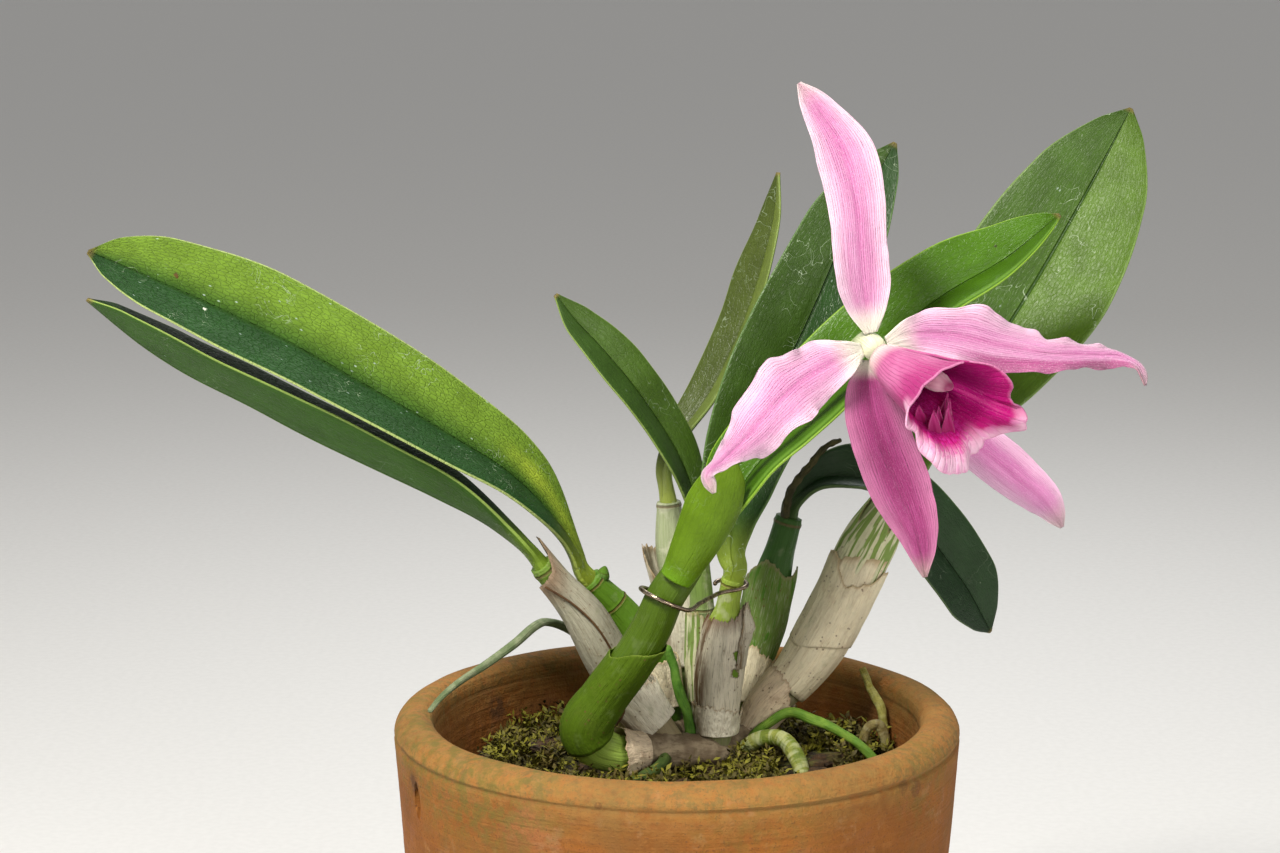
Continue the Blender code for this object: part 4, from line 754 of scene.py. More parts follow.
def grid_faces(rows, columns, wrap=False, us=None, vs=None):
    """The quads of a grid of points, row by row, and the UVs of their corners."""
    across = columns if wrap else columns - 1
    us = np.linspace(0, 1, across + 1) if us is None else us
    vs = np.linspace(0, 1, rows) if vs is None else vs
    row, column = (part.ravel() for part in np.indices((rows - 1, across)))
    beside = (column + 1) % columns
    near, far = row * columns, (row + 1) * columns
    faces = np.stack([near + column, near + beside, far + beside, far + column], 1)
    left, right, low, high = us[column], us[column + 1], vs[row], vs[row + 1]
    return faces, np.stack([left, low, right, low, right, high, left, high], 1)


class Shape:
    """Points, faces, their UVs and their finishes, gathered until they become one piece."""

    def __init__(self):
        self.points = []
        self.faces = []
        self.corners = []
        self.finishes = []
        self.count = 0

    def add(self, points, *parts):
        """Adds points, and parts that are each (faces as rows of indices, UVs of their corners, finish)."""
        for faces, corners, finish in parts:
            self.faces.extend((np.asarray(faces) + self.count).tolist())
            self.corners.append(np.asarray(corners, float).reshape(-1, 2))
            self.finishes.extend([finish] * len(faces))
        points = np.asarray(points, float).reshape(-1, 3)
        self.points.append(points)
        self.count += len(points)

    def loft(self, rings):
        """A closed tube over an array of rings of points, each end closed by a fan."""
        rows, columns = rings.shape[:2]
        faces, corners = grid_faces(rows, columns, wrap=True)
        points = [*rings.reshape(-1, 3), rings[0].mean(axis=0), rings[-1].mean(axis=0)]
        fans = []
        fan_corners = []
        for row, middle, v in ((0, rows * columns, 0.0), (rows - 1, rows * columns + 1, 1.0)):
            for column in range(columns):
                fans.append([row * columns + column, row * columns + (column + 1) % columns, middle])
                left, right, centre = ((column + step) / columns for step in (0, 1, 0.5))
                fan_corners.append([left, v, right, v, centre, v])
        self.add(points, (faces, corners, 0), (fans, fan_corners, 0))

    def shell(self, middle, thickness, us, vs, finishes=(0, 1), facing=None):
        """A closed shell over a grid of mid points, with its full thickness at each of them.

        Finishes are those of its two sides, and facing is a direction that the first side looks at the
        middle of the grid.
        """
        rows, columns = middle.shape[:2]
        normals = np.cross(np.gradient(middle, axis=1), np.gradient(middle, axis=0))
        normals /= np.maximum(np.linalg.norm(normals, axis=2, keepdims=True), 1e-12)
        if facing is not None and np.dot(normals[rows // 2, columns // 2], facing) < 0:
            normals = -normals
        shift = normals * thickness[..., None] / 2
        faces, corners = grid_faces(rows, columns, us=us, vs=vs)
        size = rows * columns
        last = size - columns
        rim = [i * columns for i in range(rows)]
        rim += [last + i for i in range(1, columns)]
        rim += [i * columns + columns - 1 for i in range(rows - 2, -1, -1)]
        rim += list(range(columns - 2, 0, -1))
        edges = []
        edge_corners = []
        for first, second in zip(rim, rim[1:] + rim[:1]):
            edges.append([first, second, second + size, first + size])
            a = (us[first % columns], vs[first // columns])
            b = (us[second % columns], vs[second // columns])
            edge_corners.append([*a, *b, *b, *a])
        self.add(
            np.vstack([(middle + shift).reshape(-1, 3), (middle - shift).reshape(-1, 3)]),
            (faces, corners, finishes[0]),
            (faces + size, corners, finishes[1]),
            (edges, edge_corners, finishes[0]),
        )

    def piece(self, name, materials, nodes, slot, smooth=True, sharp=None):
        """The mesh object of what was gathered. It stands for nodes; slot is not used."""
        mesh = bpy.data.meshes.new(name)
        mesh.from_pydata(np.vstack(self.points), [], self.faces)
        uvs = np.vstack(self.corners).astype(np.float32).ravel()
        mesh.uv_layers.new(name="UVMap").data.foreach_set("uv", uvs)
        mesh.polygons.foreach_set("material_index", self.finishes)
        for material in materials:
            mesh.materials.append(material)
        work = bmesh.new()
        work.from_mesh(mesh)
        bmesh.ops.recalc_face_normals(work, faces=work.faces)
        work.to_mesh(mesh)
        work.free()
        if smooth:
            mesh.shade_smooth()
        if sharp:
            mesh.set_sharp_from_angle(angle=radians(sharp))
        piece = linked(name, mesh)
        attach(piece, "root")
        if nodes:
            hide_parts(*nodes)
        return piece

    def stand_for(self, node, *materials):
        """The piece that takes the place of a node."""
        return self.piece(f"fine_{node}", materials, [node], node)


def linked(name, data):
    """A new object with that data, in the scene."""
    made = bpy.data.objects.new(name, data)
    bpy.context.scene.collection.objects.link(made)
    return made


def lumps(points, size, offset=0.0):
    """Smooth noise from about -1 to 1 at an array of points, its lumps about size across."""
    flat = np.asarray(points, float).reshape(-1, 3) / size + offset
    return np.array([noise.noise(Vector(point)) for point in flat]).reshape(np.shape(points)[:-1])


def lumps_at(x, y, z):
    """Smooth noise at points whose coordinates are arrays of one shape, or numbers."""
    return lumps(np.stack(np.broadcast_arrays(x, y, z), -1), 1.0)


def tube_shares(path, radii, rings):
    """Shares of a path for its rings, with extra ones that round off the far end, and a factor for each."""
    steps = row_share(np.linspace(0, 1, rings))
    tip = min(0.3, float(radii[-1][1]) * MM / path.length)
    steps = steps[steps < 1 - tip]
    turn = np.linspace(0, pi / 2, 7)
    shares = np.concatenate([steps, 1 - tip + tip * np.sin(turn)])
    factors = np.concatenate([np.ones(len(steps)), np.maximum(np.cos(turn), 0.04)])
    return shares, factors


def tube_rings(path, radii, mesh_size, swell=None, towards=None, shares=None):
    """The rings of a tube along a path, with radii in millimetres from (share, radius) pairs.

    swell(shares, angles) gives extra millimetres of radius on the grid of both. Angles run from the left
    side through the front where towards is given, and otherwise the rings keep from twisting.
    """
    rings, sides = mesh_size
    factors = np.ones(rings)
    if shares is None:
        shares, factors = tube_shares(path, radii, rings)
    angles = np.arange(sides) * 2 * pi / sides
    size = np.tile((along(radii, shares) * factors)[:, None], (1, sides))
    if swell:
        size = size + swell(shares[:, None], angles[None, :]) * factors[:, None]
    made = []
    face = None
    for tangent, place, radius in zip(path.tangents(shares), path.points(shares), size):
        if towards is not None:
            face = np.array(towards)
        elif face is None:
            face = np.array(Vector(tangent).orthogonal())
        face = unit(face - tangent * (tangent @ face))
        ring = np.outer(-np.cos(angles), np.cross(tangent, face)) + np.outer(np.sin(angles), face)
        made.append(place + ring * radius[:, None] * MM)
    return np.array(made)


def tube(*course):
    """A shape that is one closed tube, from the arguments of tube_rings."""
    shape = Shape()
    shape.loft(tube_rings(*course))
    return shape


def facing_at(facing, shares):
    """The direction a blade faces at shares of its length, from (share, direction) pairs."""
    return straight([share for share, _ in facing], np.array([way for _, way in facing], float), shares)


def edge_profile(us, power=6):
    """How a blade's thickness goes across it: nearly even, and rounded off at both margins."""
    return np.sqrt(1 - 0.97 * np.abs(us) ** power)


def blade_grid(path, widths, facing, cells, fold=FLAT, curl=FLAT, ripple=(0, 0, 0), frill=0.0, waver=0.0,
               seed=0, crease=0.0, edges=EVEN_EDGES):
    """The mid points of a leaf or tepal, as the solids have them, with finer waves along its margins.

    frill is the height of the small waves at the margin, waver how far the blade's surface and its outline
    leave their smooth course, and crease how deep the midrib lies, all in millimetres. edges tells by which
    factor each half is wider, at shares of the length. It returns the grid and its u and v values.
    """
    across, lengthwise = cells
    us = np.sin(np.linspace(-1, 1, across + 1) * pi / 2)
    vs = row_share(np.linspace(0, 1, lengthwise + 1))
    faces, sides = path.frames(vs, facing_at(facing, vs))
    height, waves, phase = ripple
    reach = np.abs(us)
    halves = along(widths, vs) / 2 * MM
    folds = np.radians(along(fold, vs))
    curls = np.radians(along(curl, vs)) + 1e-6
    left, right = (along(pairs, vs) for pairs in edges)
    rows = []
    for index, (share, half, lift, turn) in enumerate(zip(vs, halves, folds, curls)):
        out = (np.sin(lift + turn * reach) - np.sin(lift)) / turn
        rise = (np.cos(lift) - np.cos(lift + turn * reach)) / turn
        ease = min(1.0, 6 * share, 8 * (1 - share))
        course = 2 * pi * waves * share + phase + np.where(us > 0, pi / 2, 0)
        wave = height * MM * reach ** 2 * np.sin(course) + small_waves(share, us, frill, seed)
        uneven = 1 + waver * 0.02 * noise.noise(Vector((share * 9, seed, 2.0)))
        wider = 1 + (np.where(us > 0, right[index], left[index]) - 1) * reach
        upward = half * rise + wave * ease + waver * MM * swell_of(share, us, seed) * ease
        upward = upward - crease * MM * np.exp(-((us / 0.07) ** 2)) * ease
        sideways = half * uneven * wider * out * np.sign(us)
        rows.append(np.outer(sideways, sides[index]) + np.outer(upward, faces[index]))
    return path.points(vs)[:, None, :] + np.array(rows), us, vs


def small_waves(share, us, frill, seed):
    """Small uneven waves of a tepal's margin, strongest at the margin itself, in metres."""
    left = noise.noise(Vector((share * 16, seed + 5.0, 0.0)))
    right = noise.noise(Vector((share * 16, seed + 9.0, 4.0)))
    return frill * MM * 2 * np.abs(us) ** 5 * np.where(us > 0, right, left)


def swell_of(share, us, seed):
    """How far a blade's surface leaves its smooth course across one row, from about -1 to 1."""
    return np.array([noise.noise(Vector((share * 5, u * 0.8, seed + 1.0))) for u in us])


class Graph:
    """A Principled material and the nodes that feed it. Lengths in its patterns are in millimetres."""

    def __init__(self, name, **constants):
        self.material = bpy.data.materials.new(name)
        self.material.use_nodes = True
        self.tree = self.material.node_tree
        self.shader = self.tree.nodes["Principled BSDF"]
        for socket, value in constants.items():
            self.shader.inputs[socket.replace("_", " ")].default_value = value
        coordinates = self.tree.nodes.new("ShaderNodeTexCoord")
        self.place = self.scaled(coordinates.outputs["Object"], (1000, 1000, 1000))
        split = self.node("ShaderNodeSeparateXYZ", Vector=coordinates.outputs["UV"])
        self.u = split.outputs["X"]
        self.v = split.outputs["Y"]
        self.colour = None

    def put(self, socket, value):
        if isinstance(value, bpy.types.NodeSocket):
            self.tree.links.new(value, socket)
        elif isinstance(value, (tuple, list)) and len(value) == 3 and socket.type == "RGBA":
            socket.default_value = (*value, 1.0)
        else:
            socket.default_value = value

    def node(self, kind, settings=None, **inputs):
        made = self.tree.nodes.new(kind)
        for setting, value in (settings or {}).items():
            setattr(made, setting, value)
        for socket, value in inputs.items():
            self.put(made.inputs[socket.replace("_", " ")], value)
        return made

    def math(self, operation, first, second=0.0, third=0.0):
        made = self.node("ShaderNodeMath", {"operation": operation})
        for socket, value in zip(made.inputs, (first, second, third)):
            self.put(socket, value)
        return made.outputs[0]

    def vector(self, x, y, z=0.0):
        return self.node("ShaderNodeCombineXYZ", X=x, Y=y, Z=z).outputs[0]

    def scaled(self, vector, by):
        made = self.node("ShaderNodeVectorMath", {"operation": "MULTIPLY"})
        self.put(made.inputs[0], vector)
        self.put(made.inputs[1], by)
        return made.outputs[0]

    def stretched(self, x, y, seed=0.0):
        """UV stretched to x repeats across and y along, for streaks that run along a blade."""
        return self.vector(self.both(self.u, x), self.both(self.v, y), seed)

    def around(self, turns, length):
        """Coordinates that close up round a tube, for streaks that run along it."""
        angle = self.both(self.u, 2 * pi)
        x, y = (self.both(self.math(operation, angle), turns) for operation in ("COSINE", "SINE"))
        return self.vector(x, y, self.both(self.v, length))

    def noise(self, where, size, detail=2.0, roughness=0.5, distortion=0.0):
        """Noise from 0 to 1, its lumps about size across."""
        settings = {"Detail": detail, "Roughness": roughness, "Distortion": distortion}
        return self.node("ShaderNodeTexNoise", Vector=where, Scale=1 / size, **settings).outputs["Fac"]

    def lumps(self, size, *details):
        """Noise in space, from 0 to 1, its lumps size millimetres across."""
        return self.noise(self.place, size, *details)

    def cells(self, where, size, feature="F1"):
        """How far a point lies from the middle of its cell, or with another feature from its edge."""
        made = self.node("ShaderNodeTexVoronoi", {"feature": feature}, Vector=where, Scale=1 / size)
        return made.outputs["Distance"]

    def band(self, value, low, high, start=0.0, end=1.0):
        """A smooth step from start, where value is low, to end, where it is high."""
        made = self.node("ShaderNodeMapRange", {"interpolation_type": "SMOOTHSTEP"}, Value=value)
        for socket, number in (("From Min", low), ("From Max", high), ("To Min", start), ("To Max", end)):
            self.put(made.inputs[socket], number)
        return made.outputs["Result"]

    def fade(self, value, low, high):
        """A smooth step down, from 1 where value is low to 0 where it is high."""
        return self.band(value, low, high, 1.0, 0.0)

    def both(self, first, second):
        return self.math("MULTIPLY", first, second)

    def apart(self, first, second):
        return self.math("ABSOLUTE", self.math("SUBTRACT", first, second))

    def lines(self, count, drift, width):
        """1 on lines that run along a blade, count of them across it, each led aside by drift; 0 between."""
        waves = self.math("SINE", self.both(self.math("ADD", self.both(self.u, count), drift), pi))
        return self.fade(self.math("ABSOLUTE", waves), 0.0, width)

    def mix(self, share, first, second):
        made = self.tree.nodes.new("ShaderNodeMix")
        made.data_type = "RGBA"
        self.put(made.inputs[0], share)
        self.put(made.inputs[6], first)
        self.put(made.inputs[7], second)
        return made.outputs[2]

    def ground(self, share, first, second):
        """Lays the colour that is painted on: first where share is 0, second where it is 1."""
        self.colour = self.mix(share, first, second)

    def paint(self, share, tint):
        self.colour = self.mix(share, self.colour, tint)

    def near(self, place, radius, soft):
        """1 within a radius of a place given in millimetres from the centre of the rim, and 0 past it."""
        gap = self.node("ShaderNodeVectorMath", {"operation": "DISTANCE"})
        self.put(gap.inputs[0], self.place)
        gap.inputs[1].default_value = (place[0], place[1], place[2] + POT_HEIGHT / MM)
        return self.fade(gap.outputs["Value"], radius * (1 - soft), radius)

    def patch(self, u, v, radius, length, width):
        """1 in a round spot at a UV of a blade of that length and width, and 0 outside it."""
        aside = self.both(self.math("SUBTRACT", self.u, u), width)
        ahead = self.both(self.math("SUBTRACT", self.v, v), length)
        away = self.math("SQRT", self.math("ADD", self.both(aside, aside), self.both(ahead, ahead)))
        ragged = self.math("ADD", away, self.both(self.lumps(1.5, 3), radius * 2.2))
        return self.fade(ragged, radius * 1.5, radius * 1.9)

    def done(self, roughness, *bumps):
        """Links the colour, the roughness and bumps, each (height from 0 to 1, depth in millimetres)."""
        self.put(self.shader.inputs["Base Color"], self.colour)
        self.put(self.shader.inputs["Roughness"], roughness)
        normal = None
        for height, depth in bumps:
            made = self.node("ShaderNodeBump", {"invert": depth < 0}, Height=height, Distance=abs(depth) * MM)
            if normal:
                self.put(made.inputs["Normal"], normal)
            normal = made.outputs["Normal"]
        if normal:
            self.put(self.shader.inputs["Normal"], normal)
        return self.material


def leaf_finish(name, look, upper=True):
    """A leathery blade: pebbled skin, fine lengthwise strands, midrib, pale margin, specks, old scratches."""
    g = Graph(name, Specular_IOR_Level=look["shine"] if upper else 0.15)
    length, width = look["size"]
    aside = g.apart(g.u, 0.5)
    strands = g.noise(g.stretched(width * 1.3, length / 16, look["seed"]), 1.0, 3, 0.6)
    mottle = g.lumps(8.0, 3)
    grain = g.lumps(0.7, 2)
    pebbles = g.cells(g.stretched(width, length / 2.1, look["seed"]), 1.0, "DISTANCE_TO_EDGE")
    # Where a look's low and high colours differ strongly, the turn between them carries painted light and
    # shade as well as the leaf's own tones
    first, last = look.get("turn", (0.46, 0.54))
    turn = g.band(g.u, first, last)

    def shade(factor, lift=0.0):
        sides = (look["low"], look["high"]) if upper else (look["under"], look["under"])
        return g.mix(turn, *(tuple(part * factor + lift for part in side) for side in sides))

    g.ground(g.band(mottle, 0.3, 0.7), shade(0.88), shade(1.15, 0.002))
    g.paint(g.band(strands, 0.4, 0.7, 0.0, 0.3), shade(0.6))
    skin = g.fade(pebbles, 0.0, 0.14)
    pebbled = look.get("pebbled", 0.1)
    g.paint(g.both(skin, pebbled), shade(0.65))
    g.paint(g.band(grain, 0.5, 0.8, 0.0, 0.15), shade(1.4, 0.003))
    rib = g.fade(aside, 0.003, 0.016)
    g.paint(g.both(rib, 0.75), look["rib"])
    # The margin colour is the leaf's pale edge; on the left back leaf it also stands for a painted gloss
    # highlight
    margin = g.band(aside, 0.482, 0.494)
    g.paint(g.both(margin, 0.8), look["margin"])
    g.paint(g.both(g.band(g.v, 0.0, 0.16, 0.85, 0.0), g.band(mottle, 0.2, 0.6, 0.6, 1.0)), look["base"])
    if look.get("strip"):
        start, end, tint = look["strip"]
        strip = g.both(g.band(g.u, start, start + 0.06), g.fade(g.u, end, end + 0.03))
        g.paint(g.both(strip, 0.8), tint)
    if look.get("flush"):
        middle, near, far, tint = look["flush"]
        flush = g.both(g.band(g.v, near - 0.06, near), g.fade(g.v, far - 0.10, far))
        flush = g.both(g.fade(g.apart(g.u, middle), 0.0, 0.17), flush)
        g.paint(g.both(flush, g.band(mottle, 0.25, 0.65, 0.4, 1.0)), tint)
    if look.get("scar"):
        near, far = look["scar"]
        scar = g.both(g.band(g.v, near, near + 0.02), g.fade(g.v, far - 0.03, far))
        scar = g.both(g.fade(aside, 0.03, 0.07), scar)
        g.paint(g.both(scar, g.band(strands, 0.35, 0.6, 0.5, 1.0)), (0.12, 0.07, 0.03))
    gate = look.get("gate", 0.54)
    dots = g.cells(g.stretched(width / 2.4, length / 4.5, look["seed"] + 3.0), 1.0)
    specks = g.both(g.fade(dots, 0.04, 0.13), g.band(g.lumps(12.0, 2), gate, gate + 0.12))
    g.paint(g.both(specks, look["specks"]), (0.5, 0.62, 0.58))
    curve = g.apart(g.lumps(6.0, 2, 0.55, 0.8), 0.5)
    scratch = g.both(g.fade(curve, 0.001, 0.007), g.band(g.lumps(14.0, 1), 0.55, 0.62))
    g.paint(g.both(scratch, look["scratches"]), (0.42, 0.52, 0.36))
    for u, v, radius, tint in look.get("spots", ()):
        g.paint(g.patch(u, v, radius, length, width), tint)
    g.paint(g.band(g.v, 0.985, 1.0), (0.2, 0.16, 0.05))
    gloss = g.band(grain, 0.2, 0.8, look["gloss"] - 0.07, look["gloss"] + 0.1)
    gloss = g.math("ADD", gloss, g.both(specks, 0.25))
    pebble = g.lumps(1.5, 2, 0.6)
    keel = look.get("keel", -0.5 if upper else 0.5)
    return g.done(gloss, (pebble, 0.14), (skin, -0.4 * pebbled), (strands, 0.12), (rib, keel))


def stem_finish(name, look):
    """A growth's skin: one green at the foot, another at the top, fine furrows, scars and paper remains."""
    g = Graph(name, Specular_IOR_Level=0.3)
    strands = g.noise(g.around(5.0, 2.2), 0.42, 4, 0.6)
    patches = g.lumps(5.0, 3)
    g.ground(g.band(g.v, look["turn"] - 0.12, look["turn"] + 0.12), look["foot"], look["top"])
    g.paint(g.band(strands, 0.4, 0.72, 0.0, 0.5), look["streak"])
    g.paint(g.band(patches, 0.55, 0.7, 0.0, look["bleach"]), (0.62, 0.62, 0.47))
    freckles = g.both(g.fade(g.cells(g.place, 1.9), 0.08, 0.2), g.band(patches, 0.5, 0.65))
    g.paint(g.both(freckles, look["freckles"]), (0.16, 0.08, 0.025))
    rings = 0.0
    for share in look["scars"]:
        ring = g.fade(g.apart(g.v, share), 0.002, 0.011)
        rings = g.math("MAXIMUM", ring, rings)
        g.paint(g.both(ring, 0.7), look["scar"])
    roughness = g.band(strands, 0.3, 0.7, 0.36, 0.56)
    return g.done(roughness, (strands, 0.35), (g.lumps(0.8), 0.12), (rings, -0.3))


def paper_finish(name, look):
    """A dry papery sheath: silvery, with brown fibres along it, stains, slits, and a frayed brown margin."""
    g = Graph(name, Specular_IOR_Level=0.15)
    dark = look["dark"]
    fibres = g.noise(g.stretched(130, 5.0), 1.0, 4, 0.65)
    broad = g.noise(g.stretched(22, 2.0, 3.0), 1.0, 3, 0.6)
    stains = g.lumps(5.0, 4, 0.6)
    duller = tuple(part * 0.72 for part in look["pale"])
    g.ground(g.band(broad, 0.3, 0.7, 0.0, 0.55), look["pale"], duller)
    g.paint(g.band(fibres, 0.5, 0.68, 0.0, look.get("fibres", 0.6)), dark)
    g.paint(g.band(stains, 0.52, 0.68, 0.0, look["dirt"]), look.get("stain", (0.21, 0.16, 0.07)))
    g.paint(g.band(stains, 0.2, 0.42, 0.3, 0.0), (0.24, 0.3, 0.12))
    if look.get("slits"):
        low, tint = look["slits"]
        slits = g.band(g.noise(g.stretched(26, 1.7, 9.0), 1.0, 2, 0.5), low, low + 0.05)
        g.paint(g.both(slits, 0.85), tint)
    if look.get("shadow"):
        first, last, tint = look["shadow"]
        streaks = g.both(g.fade(g.u, first, last), g.band(broad, 0.35, 0.6, 0.25, 1.0))
        g.paint(streaks, tint)
    freckles = g.both(g.fade(g.cells(g.place, 1.6), 0.09, 0.25), g.band(stains, 0.47, 0.56))
    g.paint(g.both(freckles, 0.7), (0.14, 0.07, 0.03))
    for u, v, radius in look.get("holes", ()):
        length, width = look["size"]
        g.paint(g.patch(u, v, radius * 1.3, length, width), dark)
        g.paint(g.patch(u, v, radius, length, width), (0.15, 0.28, 0.03))
    g.paint(g.band(g.v, look.get("tip", 0.93), 1.0, 0.0, 0.7), look.get("top", dark))
    roughness = g.band(fibres, 0.3, 0.7, 0.62, 0.85)
    return g.done(roughness, (fibres, 0.4), (broad, 0.5), (g.lumps(1.2), 0.2))


def tepal_finish(name, look):
    """A tepal: pink with many fine veins, pale margins and base, and a crystalline surface."""
    g = Graph(name, Specular_IOR_Level=0.35, Sheen_Weight=0.25, Sheen_Roughness=0.4)
    aside = g.both(g.apart(g.u, 0.5), 2.0)
    drift = g.both(g.noise(g.stretched(5, 4, look["seed"]), 1.0, 2), 2.6)
    veins = g.lines(26.0, drift, 0.5)
    strands = g.noise(g.stretched(44, 5, look["seed"] + 4.0), 1.0, 3, 0.6)
    hairs = g.band(strands, 0.42, 0.68)
    wash = g.noise(g.stretched(4, 3, look["seed"] + 2.0), 1.0, 3)
    sparkle = g.lumps(SPARKLE, 1)
    g.ground(g.band(wash, 0.3, 0.7), look["main"], look["deep"])
    fade = g.both(g.band(aside, 0.6, 1.0, 1.0, 0.25), g.band(g.v, 0.75, 1.0, 1.0, 0.25))
    g.paint(g.band(aside, 0.25, 0.95, 0.0, look["edge"]), look["pale"])
    g.paint(g.both(g.both(hairs, 0.34), fade), look["vein"])
    g.paint(g.both(g.both(veins, 0.32), fade), look["vein"])
    g.paint(g.both(g.band(aside, 0.0, 0.25, 0.42, 0.0), fade), look["vein"])
    if look.get("turned"):
        low, tint = look["turned"]
        turned = g.both(g.band(g.u, low, low + 0.12), g.band(g.v, 0.22, 0.4))
        g.paint(g.both(turned, 0.8), tint)
    g.paint(g.band(g.v, 0.02, look["throat"], 0.95, 0.0), (0.9, 0.87, 0.74))
    g.paint(g.band(g.v, 0.88, 1.0, 0.0, look["tip"]), (0.72, 0.72, 0.5))
    # Painted glints: the pale colour laid where the sparkle noise is high
    g.paint(g.band(sparkle, 0.52, 0.72, 0.0, 0.3), look["pale"])
    roughness = g.band(sparkle, 0.3, 0.7, 0.38, 0.62)
    return g.done(roughness, (hairs, -0.06), (veins, -0.09), (sparkle, 0.08))


def lip_finish(name, inside):
    """The lip: veined pink outside, deep magenta inside with painted shade on its upper wall and in its
    throat, and a pale frilled margin streaked with magenta.
    """
    g = Graph(name, Specular_IOR_Level=0.12 if inside else 0.25)
    aside = g.apart(g.u, 0.5)
    drift = g.both(g.noise(g.stretched(9, 4, 2.0), 1.0, 2), 1.5)
    veins = g.lines(46.0, drift, 0.55)
    wash = g.noise(g.stretched(10, 3, 5.0), 1.0, 3)
    streaks = g.noise(g.stretched(46, 7, 1.0), 1.0, 3, 0.6)
    sparkle = g.lumps(SPARKLE, 1)
    lower = g.fade(aside, 0.23, 0.29)
    tongue = g.fade(aside, 0.09, 0.17)
    ragged = g.math("ADD", g.v, g.both(g.math("SUBTRACT", streaks, 0.5), 0.09))
    pale = (0.82, 0.52, 0.68)
    if inside:
        g.ground(g.band(wash, 0.3, 0.7), (0.52, 0.003, 0.185), (0.38, 0.001, 0.13))
        g.paint(g.both(veins, 0.25), (0.24, 0.0, 0.1))
        # Painted shade: the upper wall inside the lip is darkened, most strongly deep inside
        upper = g.both(g.band(g.u, 0.62, 0.8), g.band(g.v, 0.7, 1.0, 0.75, 0.35))
        g.paint(upper, (0.2, 0.001, 0.085))
        # Painted shade deep in the throat, darkest towards the lip's base
        g.paint(g.band(g.v, 0.25, 0.5, 0.9, 0.0), (0.1, 0.002, 0.04))
        soft = g.lumps(0.9, 3, 0.6)
        g.paint(g.both(lower, g.band(ragged, 0.87, 0.98, 0.0, 0.8)), pale)
        g.paint(g.both(tongue, g.band(ragged, 0.76, 0.91, 0.0, 0.9)), pale)
        speckles = g.both(g.band(soft, 0.43, 0.6), g.fade(g.v, 0.8, 0.97))
        g.paint(g.both(g.both(tongue, speckles), 0.75), (0.58, 0.03, 0.3))
        speckles = g.both(g.band(streaks, 0.5, 0.62), g.band(g.v, 0.8, 0.92, 0.0, 0.5))
        g.paint(g.both(lower, speckles), (0.64, 0.16, 0.42))
        g.paint(g.band(g.v, 0.97, 1.0, 0.0, 0.35), (0.7, 0.26, 0.46))
    else:
        g.ground(g.band(wash, 0.3, 0.7), (0.58, 0.17, 0.36), (0.46, 0.085, 0.25))
        g.paint(g.band(g.v, 0.45, 0.88, 0.0, 0.85), (0.36, 0.012, 0.15))
        g.paint(g.both(veins, 0.34), (0.33, 0.02, 0.15))
        g.paint(g.both(lower, g.band(ragged, 0.8, 0.92, 0.0, 0.8)), pale)
        g.paint(g.band(g.v, 0.97, 0.99, 0.0, 0.5), (0.7, 0.3, 0.5))
        g.paint(g.band(g.v, 0.0, 0.28, 0.8, 0.0), (0.88, 0.76, 0.68))
    # Painted glints: near-white pink laid where the sparkle noise is high
    g.paint(g.band(sparkle, 0.55, 0.8, 0.0, 0.12), (0.95, 0.7, 0.85))
    roughness = g.band(sparkle, 0.3, 0.7, 0.36, 0.6)
    return g.done(roughness, (veins, -0.1), (sparkle, 0.08))


def crest_finish():
    """The crest's flaps: magenta, darker at the foot, and veined."""
    g = Graph("lip_crest", Specular_IOR_Level=0.35, Sheen_Weight=0.3, Sheen_Roughness=0.4)
    streaks = g.noise(g.stretched(12, 2, 2.0), 1.0, 3, 0.6)
    sparkle = g.lumps(SPARKLE, 1)
    aside = g.apart(g.u, 0.5)
    g.ground(g.band(g.v, 0.1, 0.9), (0.34, 0.002, 0.115), (0.52, 0.025, 0.22))
    g.paint(g.band(streaks, 0.4, 0.65, 0.0, 0.4), (0.36, 0.004, 0.15))
    g.paint(g.band(aside, 0.42, 0.5, 0.0, 0.2), (0.72, 0.24, 0.46))
    return g.done(g.band(sparkle, 0.3, 0.7, 0.38, 0.6), (streaks, 0.1), (sparkle, 0.06))


def root_finish(name, main, dark, pale, banded=0.0):
    """A root: a matt silvery skin, green where it is wet, with cross cracks and lengthwise streaks."""
    g = Graph(name, Specular_IOR_Level=0.3)
    streaks = g.noise(g.around(2.0, 9.0), 0.5, 4, 0.6)
    patches = g.lumps(3.5, 3)
    cracks = g.noise(g.scaled(g.place, (0.7, 0.7, 3.0)), 0.9, 2)
    g.ground(g.band(patches, 0.35, 0.65), main, pale)
    g.paint(g.band(streaks, 0.45, 0.75, 0.0, 0.65), dark)
    g.paint(g.band(cracks, 0.6, 0.75, 0.0, 0.4), dark)
    rings = g.noise(g.around(0.25, 22.0), 0.8, 2)
    if banded:
        g.paint(g.band(rings, 0.45, 0.6, 0.0, banded), (0.62, 0.64, 0.42))
    ring_depth = 0.4 if banded else 0.15
    roughness = g.band(patches, 0.3, 0.7, 0.55, 0.8)
    return g.done(roughness, (streaks, 0.3), (rings, ring_depth), (g.lumps(0.5), 0.1))


